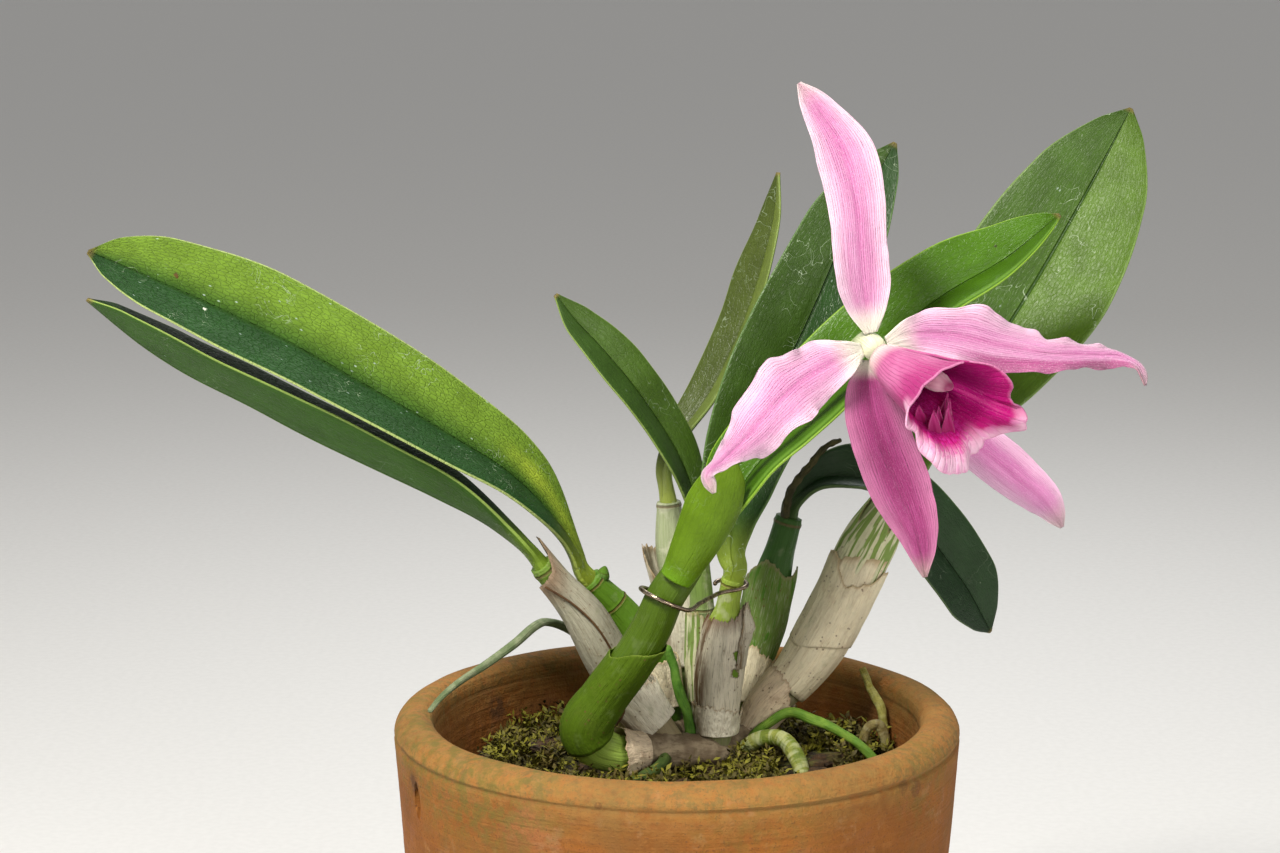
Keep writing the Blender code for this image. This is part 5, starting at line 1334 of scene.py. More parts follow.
def terracotta_finish():
    """Fired clay: deep orange, lighter at the rim by painted light, with dark specks, pink stains, and algae
    near the rim.
    """
    g = Graph("terracotta", Specular_IOR_Level=0.2)
    height = g.node("ShaderNodeSeparateXYZ", Vector=g.place).outputs["Z"]
    broad = g.lumps(26.0, 4, 0.6)
    fine = g.lumps(3.0, 4, 0.65)
    speck = g.lumps(0.6, 2)
    lines = g.noise(g.scaled(g.place, (0.02, 0.02, 1.0)), 1.1, 3)
    g.ground(g.band(broad, 0.3, 0.7), (0.29, 0.104, 0.018), (0.2, 0.07, 0.013))
    # Painted light: the rim's top band is laid lighter, where light falls on it
    rim = g.band(height, 132.6, 134.2)
    g.paint(g.both(rim, 0.8), (0.37, 0.152, 0.036))
    g.paint(g.band(fine, 0.45, 0.75, 0.0, 0.35), (0.37, 0.165, 0.05))
    g.paint(g.band(lines, 0.45, 0.7, 0.0, 0.25), (0.28, 0.1, 0.035))
    g.paint(g.band(g.lumps(17.0, 3), 0.54, 0.7, 0.0, 0.3), (0.34, 0.14, 0.075))
    bloom = g.both(g.band(g.lumps(9.0, 5, 0.7), 0.56, 0.7), g.band(height, 60.0, 125.0, 0.1, 0.35))
    g.paint(bloom, (0.37, 0.23, 0.11))
    g.paint(g.band(speck, 0.6, 0.72, 0.0, 0.8), (0.13, 0.05, 0.02))
    g.paint(g.band(speck, 0.16, 0.3, 0.3, 0.0), (0.55, 0.32, 0.15))
    ledge = g.both(g.band(height, 131.8, 132.8), g.fade(height, 133.2, 134.0))
    g.paint(g.both(ledge, g.band(fine, 0.35, 0.6, 0.1, 0.6)), (0.15, 0.07, 0.025))
    grime = g.both(rim, g.band(g.lumps(2.4, 5, 0.75), 0.44, 0.6, 0.0, 0.85))
    grime = g.both(grime, g.band(g.lumps(14.0, 3), 0.38, 0.6, 0.35, 1.0))
    g.paint(grime, (0.165, 0.105, 0.034))
    g.paint(g.band(g.lumps(21.0, 4, 0.6), 0.48, 0.66, 0.0, 0.6), (0.19, 0.095, 0.026))
    damp = g.both(g.band(height, 122.0, 136.0), g.band(fine, 0.3, 0.6, 0.05, 0.4))
    g.paint(damp, (0.3, 0.2, 0.06))
    for place, radius, strength in ALGAE:
        patchy = g.band(g.lumps(3.5, 5, 0.7), 0.4, 0.65, 0.0, strength)
        tide = g.both(g.near(place, radius, 0.7), patchy)
        g.paint(g.both(tide, 0.8), (0.13, 0.125, 0.025))
    for place, radius in STAINS:
        mark = g.both(g.near(place, radius, 0.6), g.band(fine, 0.35, 0.5))
        g.paint(g.both(mark, 0.85), (0.1, 0.045, 0.02))
    for place, radius in CHIPS:
        mark = g.both(g.near(place, radius, 0.3), g.band(speck, 0.3, 0.45))
        g.paint(g.both(mark, 0.5), (0.12, 0.05, 0.02))
    roughness = g.band(fine, 0.3, 0.7, 0.72, 0.92)
    return g.done(roughness, (lines, 0.35), (fine, 0.5), (speck, 0.18), (ledge, -0.15))


def soil_finish():
    """Bark dust and moss: nearly black gaps, partly painted shade, with dark yellow-green cushions."""
    g = Graph("bark_dust_and_moss", Specular_IOR_Level=0.25)
    cushions = g.lumps(7.0, 5, 0.65)
    grain = g.lumps(0.8, 4, 0.7)
    # The nearly black ground between the cushions is partly the dark bark dust and partly painted shade in
    # the gaps
    g.ground(g.band(grain, 0.35, 0.65), (0.012, 0.009, 0.005), (0.04, 0.028, 0.014))
    moss = g.mix(g.band(grain, 0.3, 0.7), (0.035, 0.04, 0.007), (0.12, 0.12, 0.018))
    g.paint(g.band(cushions, 0.44, 0.6), moss)
    return g.done(g.band(grain, 0.3, 0.7, 0.75, 0.95), (grain, 0.8), (cushions, 1.0))


def moss_finish(name, dark, pale):
    """Moss leaflets: darker at the foot of a sprig, and paler at its top by painted light."""
    g = Graph(name, Specular_IOR_Level=0.3)
    patches = g.lumps(5.0, 3)
    grain = g.lumps(0.6, 2)
    g.ground(g.band(patches, 0.35, 0.65), dark, pale)
    # Painted light: leaflets higher on a sprig are laid paler, as lit tops
    lit = tuple(min(1, part * 1.45) for part in pale)
    g.paint(g.both(g.v, g.band(grain, 0.2, 0.7, 0.2, 0.8)), lit)
    g.paint(g.band(g.lumps(9.0, 2), 0.54, 0.68, 0.0, 0.7), (0.12, 0.085, 0.025))
    return g.done(g.band(grain, 0.3, 0.7, 0.55, 0.8), (grain, 0.1))


def bark_finish():
    """Fir bark: dark, thin layers, greenish in patches."""
    g = Graph("bark", Specular_IOR_Level=0.3)
    layers = g.noise(g.scaled(g.place, (1.0, 1.0, 3.5)), 1.6, 5, 0.7)
    patches = g.lumps(6.0, 3)
    g.ground(g.band(layers, 0.35, 0.65), (0.025, 0.014, 0.007), (0.09, 0.05, 0.022))
    g.paint(g.band(patches, 0.55, 0.7, 0.0, 0.6), (0.1, 0.1, 0.02))
    return g.done(g.band(layers, 0.3, 0.7, 0.7, 0.92), (layers, 0.7), (g.lumps(0.5, 2), 0.2))


def wire_finish():
    """Aged bronze wire: bright where it is rubbed, brown in its scratches."""
    g = Graph("bronze_wire", Metallic=1.0)
    tarnish = g.lumps(2.2, 4, 0.65)
    drawn = g.noise(g.around(3.0, 60.0), 0.6, 2)
    g.ground(g.band(tarnish, 0.4, 0.68), (0.38, 0.3, 0.22), (0.08, 0.055, 0.035))
    return g.done(g.band(tarnish, 0.35, 0.7, 0.16, 0.45), (drawn, 0.04), (tarnish, 0.05))


def column_finish():
    """The column: pale pink with a crystalline surface, and dark magenta under its cap."""
    g = Graph("column", Specular_IOR_Level=0.4, Sheen_Weight=0.2)
    wash = g.noise(g.around(0.8, 2.0), 0.8, 3)
    sparkle = g.lumps(SPARKLE, 1)
    g.ground(g.band(wash, 0.35, 0.65), (0.8, 0.52, 0.6), (0.66, 0.28, 0.41))
    g.paint(g.band(g.v, 0.8, 0.9, 0.0, 0.9), (0.3, 0.012, 0.11))
    return g.done(g.band(sparkle, 0.3, 0.7, 0.38, 0.6), (sparkle, 0.06), (wash, 0.1))


def floor_finish():
    """A pale matt floor."""
    g = Graph("pale_floor", Specular_IOR_Level=0.2)
    grain = g.lumps(3.0, 3)
    g.ground(g.band(grain, 0.3, 0.7), (0.8, 0.8, 0.79), (0.83, 0.83, 0.82))
    return g.done(g.band(grain, 0.3, 0.7, 0.7, 0.8))


def cut_away(obj, cutters):
    """Cuts the cutter meshes out of a piece, for good."""
    tools = [linked(mesh.name, mesh) for mesh in cutters]
    for tool in tools:
        cut = obj.modifiers.new(tool.name, "BOOLEAN")
        cut.operation = "DIFFERENCE"
        cut.object = tool
        cut.solver = "EXACT"
    graph = bpy.context.evaluated_depsgraph_get()
    mesh = bpy.data.meshes.new_from_object(obj.evaluated_get(graph))
    obj.modifiers.clear()
    obj.data = mesh
    for tool in tools:
        bpy.data.objects.remove(tool)


def mesh_of(work, name):
    """The mesh that a bmesh holds; the bmesh is freed."""
    mesh = bpy.data.meshes.new(name)
    work.to_mesh(mesh)
    work.free()
    return mesh


def hole_mesh(index):
    """The cutter for one drainage hole."""
    angle = 2 * pi * index / HOLES + pi / 2
    work = bmesh.new()
    bmesh.ops.create_cone(
        work, cap_ends=True, segments=48, radius1=HOLE_RADIUS, radius2=HOLE_RADIUS, depth=4 * FLOOR,
        matrix=Matrix.Translation((HOLE_RING * cos(angle), HOLE_RING * sin(angle), 0)),
    )
    return mesh_of(work, f"hole_{index}")


def slot_mesh():
    """The ragged chip in the pot's outer wall, on the left."""
    work = bmesh.new()
    bmesh.ops.create_icosphere(work, subdivisions=4, radius=1.0)
    for vert in work.verts:
        vert.co *= 1 + 0.22 * noise.noise(vert.co * 2.3)
    bmesh.ops.scale(work, vec=SLOT_SIZE, verts=work.verts)
    bmesh.ops.rotate(work, matrix=Matrix.Rotation(SLOT_TURN, 3, "Z"), verts=work.verts)
    bmesh.ops.translate(work, vec=at(*SLOT_PLACE), verts=work.verts)
    return mesh_of(work, "slot")


def pot_profile():
    """Points (radius, height) from the floor inside, over the rim, down the outer wall to the underside."""
    crown = WALL - RIM_ROUNDING
    crest = POT_RADIUS - RIM_ROUNDING
    groove = POT_HEIGHT - RIM_HEIGHT - GROOVE_DROP
    levels = [FLOOR * 1.25, *np.linspace(FLOOR * 1.5, POT_HEIGHT - crown - 0.001, 56)]
    inside = [(wall_radius(FLOOR, inner=True) - FLOOR / 4, FLOOR)]
    inside += [(wall_radius(height, inner=True), height) for height in levels]
    rim = arc((crest, POT_HEIGHT - crown), crown, np.linspace(178, 90, 12))
    rim += [
        (crest + RIM_ROUNDING * cos(turn), POT_HEIGHT - RIM_HEIGHT * (1 - sin(turn)))
        for turn in np.radians(np.linspace(84, 3, 16))
    ]
    ledge = [
        (wall_radius(groove - drop) - depth, groove - drop)
        for drop, depth in ((0.0, GROOVE_DEPTH), (GROOVE_WIDTH, GROOVE_DEPTH), (GROOVE_RUN, 0.0))
    ]
    outside = [(wall_radius(height), height) for height in np.linspace(groove - 0.003, FOOT_ROUNDING, 64)]
    foot = [
        (POT_BASE_RADIUS - FOOT_ROUNDING * (1 - cos(turn)), FOOT_ROUNDING * (1 - sin(turn)))
        for turn in (0.5, 1.0, pi / 2)
    ]
    return inside + rim + ledge + outside + foot


def make_pot():
    """The terracotta pot, a little uneven as a thrown and fired one is."""
    angles = np.arange(POT_STEPS) * 2 * pi / POT_STEPS
    profile = np.array(pot_profile())
    radii = np.tile(profile[:, :1], (1, POT_STEPS))
    heights = np.tile(profile[:, 1:], (1, POT_STEPS))
    rough = np.stack([np.cos(angles) * radii, np.sin(angles) * radii, heights], 2) / MM
    uneven = 0.22 * lumps(rough, 24.0) + 0.07 * lumps(rough, 2.2, 3.0)
    uneven += 0.05 * lumps(rough * (0.02, 0.02, 1.0), 1.3, 9.0)
    radii = radii + uneven * MM
    near_rim = np.clip((heights - POT_HEIGHT + 0.012) / 0.012, 0, 1)
    heights = heights + near_rim * 0.25 * MM * lumps(rough * (1, 1, 0), 16.0, 5.0) * (heights > 0.05)
    shape = Shape()
    shape.loft(np.stack([np.cos(angles) * radii, np.sin(angles) * radii, heights], 2))
    pot = shape.stand_for("pot", terracotta_finish())
    cut_away(pot, [*(hole_mesh(index) for index in range(HOLES)), slot_mesh()])
    pot.data.shade_smooth()
    pot.data.set_sharp_from_angle(angle=radians(48))


def make_mix():
    """The bark and moss filling, with a lumpy top."""
    angles = np.arange(MIX_STEPS) * 2 * pi / MIX_STEPS
    round_places = np.stack([np.cos(angles), np.sin(angles)], 1)
    fit = wall_radius(POT_HEIGHT + MIX_LEVEL * MM, inner=True)
    rings = []
    for ring in range(1, MIX_RINGS + 1):
        places = round_places * ring / MIX_RINGS
        heights = np.array([surface_height(x * fit / MM, y * fit / MM) for x, y in places])
        reach = np.array([wall_radius(POT_HEIGHT + height * MM, inner=True) - GAP / 2 for height in heights])
        rings.append(np.column_stack([places * reach[:, None], POT_HEIGHT + heights * MM]))
    base = FLOOR + GAP
    for height, inset in ((0.09, GAP), (0.05, GAP), (base + FLOOR / 3, GAP), (base, FLOOR / 2)):
        reach = wall_radius(height, inner=True) - inset
        rings.append(np.column_stack([round_places * reach, np.full(MIX_STEPS, height)]))
    shape = Shape()
    shape.loft(np.array(rings))
    shape.stand_for("potting_mix", soil_finish())


def surface_height(x, y):
    """The mix's top with its fine grain, in millimetres under the rim."""
    fine = noise.noise(Vector((x, y, 8.0)) / 2.6) * 0.9 + noise.noise(Vector((x, y, 20.0)) / 1.1) * 0.45
    return float(mix_height(x, y)) + fine


def slivers(starts, directions, sides, lifts, lengths, widths, stages):
    """Moss leaflets: closed four-sided slivers, and the UVs that tell how high each stands on its sprig."""
    middle = starts + directions * lengths[:, None] * 0.45
    half = sides * widths[:, None] / 2
    points = np.stack(
        [starts, middle + half + lifts, middle - half + lifts, starts + directions * lengths[:, None]], 1
    )
    index = np.arange(len(starts))[:, None] * 4
    faces = np.concatenate([index + [0, 1, 2], index + [0, 3, 1], index + [0, 2, 3], index + [1, 3, 2]])
    stage = np.tile(stages, 4)[:, None]
    corners = np.hstack([stage * 0 + 0.5, stage, stage * 0 + 0.4, stage, stage * 0 + 0.6, stage])
    return points.reshape(-1, 3), faces, corners


def moss_places(random, count, wanted):
    """Random places on the mix, in millimetres, where wanted(x, y, chance) holds for a random chance."""
    places = []
    reach = wall_radius(POT_HEIGHT + MIX_LEVEL * MM, inner=True) / MM - 1.5
    while len(places) < count:
        x, y = random.uniform(-reach, reach, 2)
        if x * x + y * y < reach * reach and wanted(x, y, random.uniform()):
            places.append((x, y))
    return places


def mossy(x, y, chance):
    """Whether moss lies at a place; a higher chance asks for a thicker cushion."""
    cushions = noise.noise(Vector((x, y, 40.0)) / 11.0) + 0.5 * noise.noise(Vector((x, y, 60.0)) / 4.0)
    return cushions > chance * 0.25 - 0.22


def make_moss():
    """Sprigs of moss: each a few tiers of leaflets round a short stem, in a bright piece and a dark one that
    is partly painted shade.
    """
    random = np.random.default_rng(SEED)
    # moss_dark is partly darker moss and partly painted shade deep in the cushions
    for name, count, dark, pale in (
        ("moss_bright", SPRIGS // 2, (0.062, 0.058, 0.006), (0.16, 0.15, 0.012)),
        ("moss_dark", SPRIGS // 2, (0.02, 0.017, 0.003), (0.064, 0.052, 0.007)),
    ):
        places = moss_places(random, count, mossy)
        feet = np.array([tuple(at(x, y, surface_height(x, y) - 0.3)) for x, y in places])
        lean = unit(np.column_stack([random.normal(0, 0.45, (count, 2)), np.ones(count)]))
        clumps = 1.0 + 2.8 * lumps(feet / MM, 7.0, 12.0)
        heights = random.uniform(*SPRIG_HEIGHT, count) * MM * np.clip(clumps, 0.15, 1.7)
        sprig = np.repeat(np.arange(count), LEAFLETS)
        stages = np.tile(np.linspace(0.15, 1, LEAFLETS), count)
        turns = random.uniform(0, 2 * pi, count)[sprig] + np.tile(np.arange(LEAFLETS) * 2.4, count)
        outward = np.column_stack([np.cos(turns), np.sin(turns), np.zeros(len(turns))])
        outward = unit(outward - lean[sprig] * np.sum(outward * lean[sprig], axis=1, keepdims=True))
        directions = unit(outward + lean[sprig] * random.uniform(0.3, 1.1, (len(turns), 1)))
        sides = unit(np.cross(directions, lean[sprig]))
        points, faces, corners = slivers(
            feet[sprig] + lean[sprig] * (heights[sprig] * stages)[:, None],
            directions, sides, lean[sprig] * 0.09 * MM,
            random.uniform(*LEAFLET_LENGTH, len(turns)) * MM,
            random.uniform(0.7, 1.3, len(turns)) * LEAFLET_WIDTH * MM, stages,
        )
        shape = Shape()
        shape.add(points, (faces, corners, 0))
        shape.piece(name, [moss_finish(name, dark, pale)], [], "potting_mix", smooth=False)


def make_bark():
    """Chips of fir bark among the moss."""
    random = np.random.default_rng(SEED + 1)
    ball = bmesh.new()
    bmesh.ops.create_icosphere(ball, subdivisions=2, radius=1.0)
    points = np.array([tuple(vert.co) for vert in ball.verts])
    faces = np.array([[vert.index for vert in face.verts] for face in ball.faces])
    ball.free()
    shape = Shape()
    bare = moss_places(random, BARK_PIECES, lambda x, y, chance: not mossy(x, y, 0.35))
    for index, (x, y) in enumerate(bare):
        size = random.uniform(*BARK_SIZE)
        size = size * np.array([1.0, random.uniform(0.5, 0.9), random.uniform(0.3, 0.55)])
        square = np.sign(points) * np.abs(points) ** 0.55
        chip = square * size * (1 + 0.28 * lumps(points * 1.3, 1.0, index * 3.7))[:, None]
        turn = Matrix.Rotation(random.uniform(0, 2 * pi), 3, "Z")
        turn = turn @ Matrix.Rotation(random.normal(0, 0.4), 3, "X")
        place = at(x, y, surface_height(x, y) + 0.2 * size[2])
        away = max(Vector((place.x, place.y)).length, MM)
        inward = min(1, (wall_radius(place.z, inner=True) - BARK_SIZE[1] * MM) / away)
        place = Vector((place.x * inward, place.y * inward, place.z))
        shape.add(
            chip @ np.array(turn.transposed()) * MM + np.array(place),
            (faces, np.tile([0.2, 0.2, 0.8, 0.2, 0.5, 0.8], (len(faces), 1)), 0),
        )
    shape.piece("bark_chips", [bark_finish()], [], "potting_mix", sharp=28)


def on_stem(path, radii, shares, angles, off):
    """Places off a stem's skin: angles in degrees, left side first, then the front; off in millimetres."""
    turns = np.radians(angles)[..., None]
    inside = np.clip(shares, 0.0, 1.0)
    faces, sides = path.frames(inside, (0, -1, 0))
    reach = (along(radii, inside) + off)[..., None] * MM
    return path.points(shares) + (np.sin(turns) * faces - np.cos(turns) * sides) * reach


def skin_of(growth_index, look):
    """How a stem's skin leaves its smooth radius: furrows, slow waves, and a raised ring at each scar."""

    def swell(shares, angles):
        furrows = FURROW_DEPTH * np.sin(FURROWS * angles + 3 * np.sin(5 * shares + growth_index))
        waves = SKIN_WAVE * 0.5 * np.sin(2 * angles + 9 * shares + growth_index) * np.sin(pi * shares)
        rings = sum(0.3 * np.exp(-(((shares - share) / 0.010) ** 2)) for share in look["scars"])
        return furrows * np.clip(shares * 6, 0, 1) + waves + rings

    return swell


def make_growth(index, name, growth):
    """A growth's stem and its leaf. It returns the stem's path."""
    path = path_at(growth["stem"])
    look = STEM_LOOKS[name]
    shares = np.linspace(0, 1, STEM_MESH[0])
    stem = tube(path, growth["radii"], STEM_MESH, skin_of(index, look), Vector((0, -1, 0)), shares)
    stem.stand_for(f"pseudobulb_{name}", stem_finish(f"stem_{name}", look))
    top, upward = path.points(1.0), path.tangents(1.0)
    foot = [top - upward * LEAF_SINK, top + upward * PETIOLE_RUN]
    grid, us, vs = blade_grid(
        Path([*foot, *(at(*place) for place in growth["leaf"])]), growth["widths"], growth["facing"],
        LEAF_CELLS, fold=growth["fold"], waver=WAVER, seed=index * 7, crease=LEAF_CREASE,
    )
    powers = along([(0, 2.0), (0.06, 2.4), (0.15, 6.0), (1, 6.0)], vs)[:, None]
    thickness = LEAF_THICKNESS * along(LEAF_WEIGHTS, vs)[:, None] * edge_profile(us[None, :], powers)
    leaf = Shape()
    leaf.shell(grid, thickness, (us + 1) / 2, vs, facing=facing_at(growth["facing"], 0.5))
    sides = (leaf_finish(f"leaf_{name}", LEAF_LOOKS[name]),
             leaf_finish(f"underleaf_{name}", LEAF_LOOKS[name], upper=False))
    leaf.stand_for(f"leaf_{name}", *sides)
    return path


def sheath_shape(path, radii, sheath, off, seed):
    """A sheath: wrinkled along its length, with a torn margin of fine teeth, off millimetres further out."""
    across, lengthwise = SHEATH_CELLS
    us, vs = np.linspace(0, 1, across + 1), np.linspace(0, 1, lengthwise + 1)
    turns, rises = np.meshgrid(us, vs)
    teeth = 0.6 * lumps_at(turns * 34, seed, 0.0) + 0.5 * lumps_at(turns * 90, seed, 5.0)
    first, last = sheath["slit"]
    start = sheath["span"][0] + along(sheath.get("foot", FLAT), turns)
    end = sheath["span"][1] + along(sheath["margin"], turns) + sheath["jag"] * teeth
    wrinkle = lumps_at(turns * 26, rises * 2.2, seed) + 0.6 * lumps_at(turns * 8, rises * 5, seed)
    lift = SHEATH_GAP / MM + off + SHEATH_LIFT + WRINKLE * wrinkle * (0.6 + 0.6 * rises)
    lift = lift + along(sheath.get("flare", FLAT), turns) * rises ** sheath.get("bend", 1.5)
    grid = on_stem(path, radii, start + (end - start) * rises, first + (last - first) * turns, lift)
    thickness = np.full(grid.shape[:2], SHEATH_THICKNESS) * np.linspace(1, 0.45, len(vs))[:, None]
    shape = Shape()
    shape.shell(grid, thickness, us, vs, finishes=(0, 0))
    return shape


def make_sheaths(paths):
    """The solids' own sheaths, and the scales that only the looks have."""
    papers = {name: paper_finish(name, look) for name, look in PAPERS.items()}
    for index, (name, sheath) in enumerate(SHEATHS.items()):
        shape = sheath_shape(paths[name], GROWTHS[name]["radii"], sheath, 0.0, index * 3.1)
        shape.stand_for(f"sheath_{name}", papers[sheath["finish"]])
    for index, (name, scale) in enumerate(SCALES.items()):
        growth = scale["growth"]
        shape = sheath_shape(paths[growth], GROWTHS[growth]["radii"], scale, scale["off"], 20 + index * 2.3)
        shape.piece(f"scale_{name}", [papers[scale["finish"]]], [], f"pseudobulb_{growth}")


def make_rhizome():
    """The creeping stem: two ringed, papery lengths that meet under the left growths."""

    def rings(shares, angles):
        steps = np.abs((shares * 9) % 1 - 0.5)
        return 0.35 * np.exp(-((steps / 0.09) ** 2)) + 0.15 * np.sin(7 * angles + 20 * shares)

    shape = Shape()
    for places in RHIZOMES:
        shape.loft(tube_rings(path_at(places), RHIZOME_RADII, RHIZOME_MESH, rings))
    skin = root_finish("rhizome", (0.17, 0.125, 0.075), (0.075, 0.05, 0.028), (0.3, 0.24, 0.155))
    shape.stand_for("rhizome", skin)
    reach = Vector(BUD_DIRECTION).normalized() * BUD_LENGTH * MM
    bud = tube(Path([at(*BUD_FOOT) + reach * share for share in (0, 0.5, 1)]), BUD_RADII, BUD_MESH)
    bud.piece("resting_buds", [stem_finish("buds", STEM_LOOKS["left_back"])], [], "rhizome")


def make_roots():
    """The thick roots, a little uneven along and around."""
    for index, (name, root) in enumerate(ROOTS.items()):

        def swell(shares, angles):
            return 0.10 * np.sin(2 * angles + 14 * shares + index) + 0.07 * np.sin(31 * shares + 3 * angles)

        shape = tube(path_at(root["path"]), root["radii"], ROOT_MESH, swell)
        shape.stand_for(name, root_finish(name, *root["look"]))


def make_bract():
    """The green bract that stands in front of the new growth's leaf base."""
    facing = [(0, (0, 1, 0)), (1, (0, 1, 0.1))]
    curl = [(0, 60), (0.5, 50), (1, 30)]
    grid, us, vs = blade_grid(path_at(BRACT), BRACT_WIDTHS, facing, BRACT_CELLS, curl=curl, waver=0.3)
    thickness = BRACT_THICKNESS * along([(0, 1), (1, 0.7)], vs)[:, None] * edge_profile(us)[None, :]
    shape = Shape()
    shape.shell(grid, thickness, (us + 1) / 2, vs, facing=facing_at(facing, 0.5))
    look = dict(
        LEAF_LOOKS["front"], size=(34, 15), seed=12.0, strip=None, spots=(), keel=0.04,
        rib=(0.095, 0.175, 0.007), under=(0.1, 0.185, 0.007), low=(0.08, 0.16, 0.006),
        high=(0.08, 0.16, 0.006),
    )
    inside, outside = leaf_finish("bract_inside", look), leaf_finish("bract_outside", look, upper=False)
    shape.stand_for("bract", inside, outside)


def make_tepals():
    """The three sepals and the two petals."""
    for index, (name, tepal) in enumerate(TEPALS.items()):
        grid, us, vs = blade_grid(
            path_at(tepal["path"]), tepal["widths"], tepal["facing"], TEPAL_CELLS, curl=tepal["curl"],
            ripple=tepal["ripple"], frill=tepal["frill"], waver=WAVER, seed=30 + index * 5,
            crease=TEPAL_CREASE, edges=tepal.get("edges", EVEN_EDGES),
        )
        weights = along([(0, 1.6), (0.15, 1.0), (1, 0.7)], vs)
        thickness = PETAL_THICKNESS * weights[:, None] * edge_profile(us, 3)[None, :]
        shape = Shape()
        shape.shell(grid, thickness, (us + 1) / 2, vs, finishes=(0, 0))
        shape.stand_for(name, tepal_finish(name, TEPAL_LOOKS[name]))


def make_peduncle(stem_path):
    """The flower stalk, which widens into the ribbed ovary behind the flower."""
    start = stem_path.points(1.0) + stem_path.tangents(1.0) * GAP + np.array(PEDUNCLE_START) * MM
    path = Path([start, *(at(*place) for place in PEDUNCLE)])

    def ribs(shares, angles):
        fade = np.clip((shares - 0.75) * 6, 0, 1) * np.clip((1 - shares) * 12, 0, 1)
        return 0.16 * np.sin(6 * angles) * fade

    look = dict(
        foot=(0.16, 0.32, 0.02), top=(0.84, 0.84, 0.62), turn=0.82, streak=(0.36, 0.44, 0.15), bleach=0.1,
        freckles=0.2, scars=(0.45,), scar=(0.2, 0.28, 0.06),
    )
    tube(path, PEDUNCLE_RADII, STALK_MESH, ribs).stand_for("peduncle", stem_finish("peduncle", look))


def lip_places(axis, us, vs, off=0.0):
    """Places on the lip, at u from -1 to 1 round it and v from 0 to 1 along it, off millimetres outwards."""
    uneven = 0.03 * lumps_at(us * 9, 3.0, 0.0)
    shares = vs * (1 + along(LIP_REACH, us) + uneven) + along(LIP_BENDS, us) * 4 * vs ** 3 * (1 - vs)
    faces, sides = axis.frames(np.minimum(shares, 1.0), (0, 0, -1))
    crisp = 0.9 * lumps_at(us * 9, 7.0, vs * 2) + 0.24 * lumps_at(us * 26, 2.0, vs * 3)
    crisp *= LIP_CRISP * along(LIP_CRISPS, us) * vs ** 6
    size = (along(LIP_RADII, vs) + crisp + vs ** 6 * along(LIP_LOBES, us) + off)[..., None] * MM
    angles = (us * LIP_WRAP)[..., None]
    return axis.points(shares + 0.06 * crisp) + (faces * np.cos(angles) + sides * np.sin(angles)) * size


def make_lip():
    """The rolled lip with its frilled mouth, and the crest of pointed flaps inside it."""
    axis = path_at(LIP_AXIS)
    us, vs = np.linspace(-1, 1, LIP_CELLS[0] + 1), np.linspace(0, 1, LIP_CELLS[1] + 1) ** 0.8
    grid = lip_places(axis, *np.meshgrid(us, vs))
    thickness = PETAL_THICKNESS * np.tile(np.linspace(1.1, 0.55, len(vs))[:, None], (1, len(us)))
    shape = Shape()
    shape.shell(grid, thickness, (us + 1) / 2, vs, facing=np.array([0, 0, -1.0]))
    sides, rises = np.linspace(-1, 1, CREST_CELLS[0] + 1), np.linspace(0, 1, CREST_CELLS[1] + 1)
    shares, across = np.meshgrid(rises, sides, indexing="ij")
    for flap, (u, v, height, lean) in enumerate(CREST):
        foot = lip_places(axis, np.array(u), np.array(v), 0.1)
        half = CREST_WIDTH * (1.02 - shares) ** 0.55 * (0.75 + 0.35 * np.sin(2.6 * shares + 0.5 * flap))
        rise = height * shares * (1 - 0.12 * across ** 2)
        bow = 0.3 * across ** 2 + 1.0 * shares ** 2
        fold = 0.22 * np.sin(5 * across + 4 * shares + 2 * flap)
        steps = rise[..., None] * CREST_UP + (half * across + lean * shares)[..., None] * CREST_ACROSS
        places = foot + (steps + (fold - bow)[..., None] * np.array([0.0, 1.0, 0.0])) * MM
        thin = CREST_THICKNESS * (1 - 0.5 * shares)
        shape.shell(places, thin, (sides + 1) / 2, rises, finishes=(2, 2))
    shape.stand_for("lip", lip_finish("lip_outside", False), lip_finish("lip_inside", True), crest_finish())


def make_column():
    """The column, with its hooded cap."""

    def hood(shares, angles):
        return 0.3 * np.sin(2 * angles) + 0.15 * np.exp(-(((shares - 0.85) / 0.03) ** 2))

    tube(path_at(COLUMN), COLUMN_RADII, COLUMN_MESH, hood).stand_for("column", column_finish())


def loop(centre, radius, span, rise):
    """Places on a circle, from the first angle of span to the last, raised along x and y."""
    places = []
    for angle in range(span[0], span[1] + 1, WIRE_STEP):
        turn = radians(angle)
        lift = rise[0] * cos(turn) + rise[1] * sin(turn)
        places.append(Vector(centre) + Vector((cos(turn), sin(turn), lift)) * radius)
    return places


def make_clip():
    """The bent wire that holds the new growth to the middle one."""
    path = path_at([*loop(*FRONT_LOOP), *BRIDGE, *loop(*NECK_LOOP)])
    tube(path, [(0, WIRE_RADIUS), (1, WIRE_RADIUS)], WIRE_MESH).stand_for("wire_clip", wire_finish())


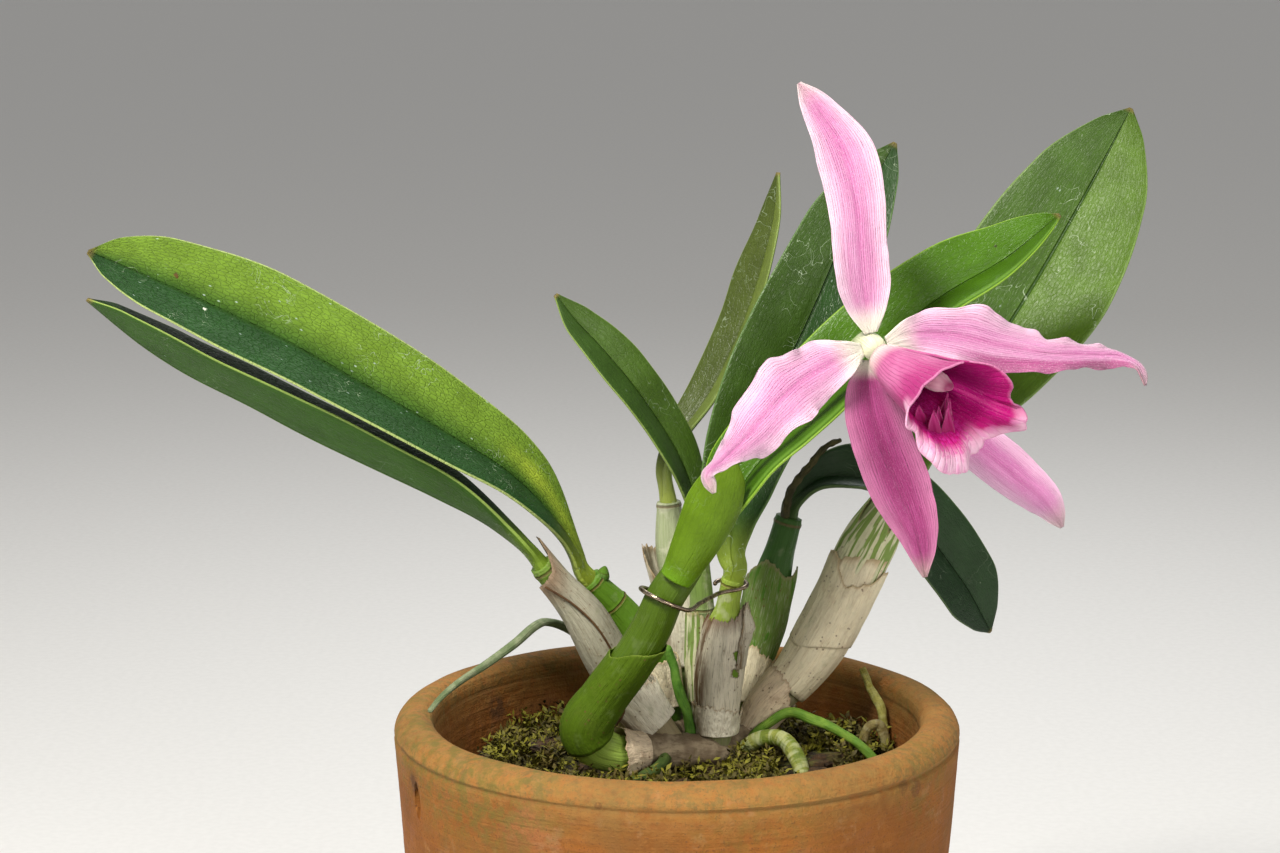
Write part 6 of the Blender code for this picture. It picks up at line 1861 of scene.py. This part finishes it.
def make_dried_parts(paths):
    """Last year's dried flower stalk, and the thin strand that hangs down the left front growth."""

    def shrivel(shares, angles):
        return 0.18 * np.sin(5 * angles + 30 * shares) + 0.12 * np.sin(50 * shares)

    stalk = tube(path_at(DEAD_STALK), DEAD_STALK_RADII, DEAD_STALK_MESH, shrivel)
    brown = root_finish("dried_stalk", (0.045, 0.042, 0.014), (0.02, 0.018, 0.008), (0.09, 0.08, 0.03))
    stalk.stand_for("dead_flower_stalk", brown)
    spots = on_stem(paths["left_front"], GROWTHS["left_front"]["radii"], *np.array(STRAND).T)
    strand = tube(Path(spots), STRAND_RADII, STRAND_MESH)
    dry = root_finish("dry_strand", (0.08, 0.035, 0.014), (0.035, 0.016, 0.007), (0.15, 0.08, 0.03))
    strand.piece("dry_strand", [dry], [], "sheath_left_front")


def make_stage():
    """A plain pale floor, pale light all round, three soft lights, and the camera."""
    floor_mesh = bpy.data.meshes.new("floor")
    half = FLOOR_SIZE / 2
    corners = [(-half, -half, 0), (half, -half, 0), (half, half, 0), (-half, half, 0)]
    floor_mesh.from_pydata(corners, [], [(0, 1, 2, 3)])
    floor_mesh.materials.append(floor_finish())
    floor = linked("floor", floor_mesh)
    world = bpy.data.worlds.new("studio")
    world.use_nodes = True
    background = world.node_tree.nodes["Background"]
    background.inputs["Color"].default_value = (*WORLD_COLOUR, 1.0)
    background.inputs["Strength"].default_value = WORLD_STRENGTH
    bpy.context.scene.world = world
    for name, (place, size, power, colour) in LIGHTS.items():
        light = bpy.data.lights.new(name, "AREA")
        light.shape = "DISK"
        light.size = size
        light.energy = power
        light.color = colour
        lamp = linked(name, light)
        lamp.location = place
        lamp.rotation_euler = (Vector(LIGHT_AIM) - Vector(place)).to_track_quat("-Z", "Y").to_euler()
    camera_data = bpy.data.cameras.new("camera")
    camera_data.lens = CAMERA_LENS
    camera = linked("camera", camera_data)
    camera.location = CAMERA_PLACE
    camera.rotation_euler = (CAMERA_PITCH, 0, 0)
    bpy.context.scene.camera = camera
    bpy.context.scene.view_settings.view_transform = "Standard"


def main():
    """Builds every piece."""
    make_stage()
    make_pot()
    make_mix()
    make_moss()
    make_bark()
    make_rhizome()
    paths = {name: make_growth(index, name, growth) for index, (name, growth) in enumerate(GROWTHS.items())}
    make_sheaths(paths)
    make_roots()
    make_bract()
    make_peduncle(paths["front"])
    make_tepals()
    make_lip()
    make_column()
    make_clip()
    make_dried_parts(paths)
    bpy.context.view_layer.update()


main()
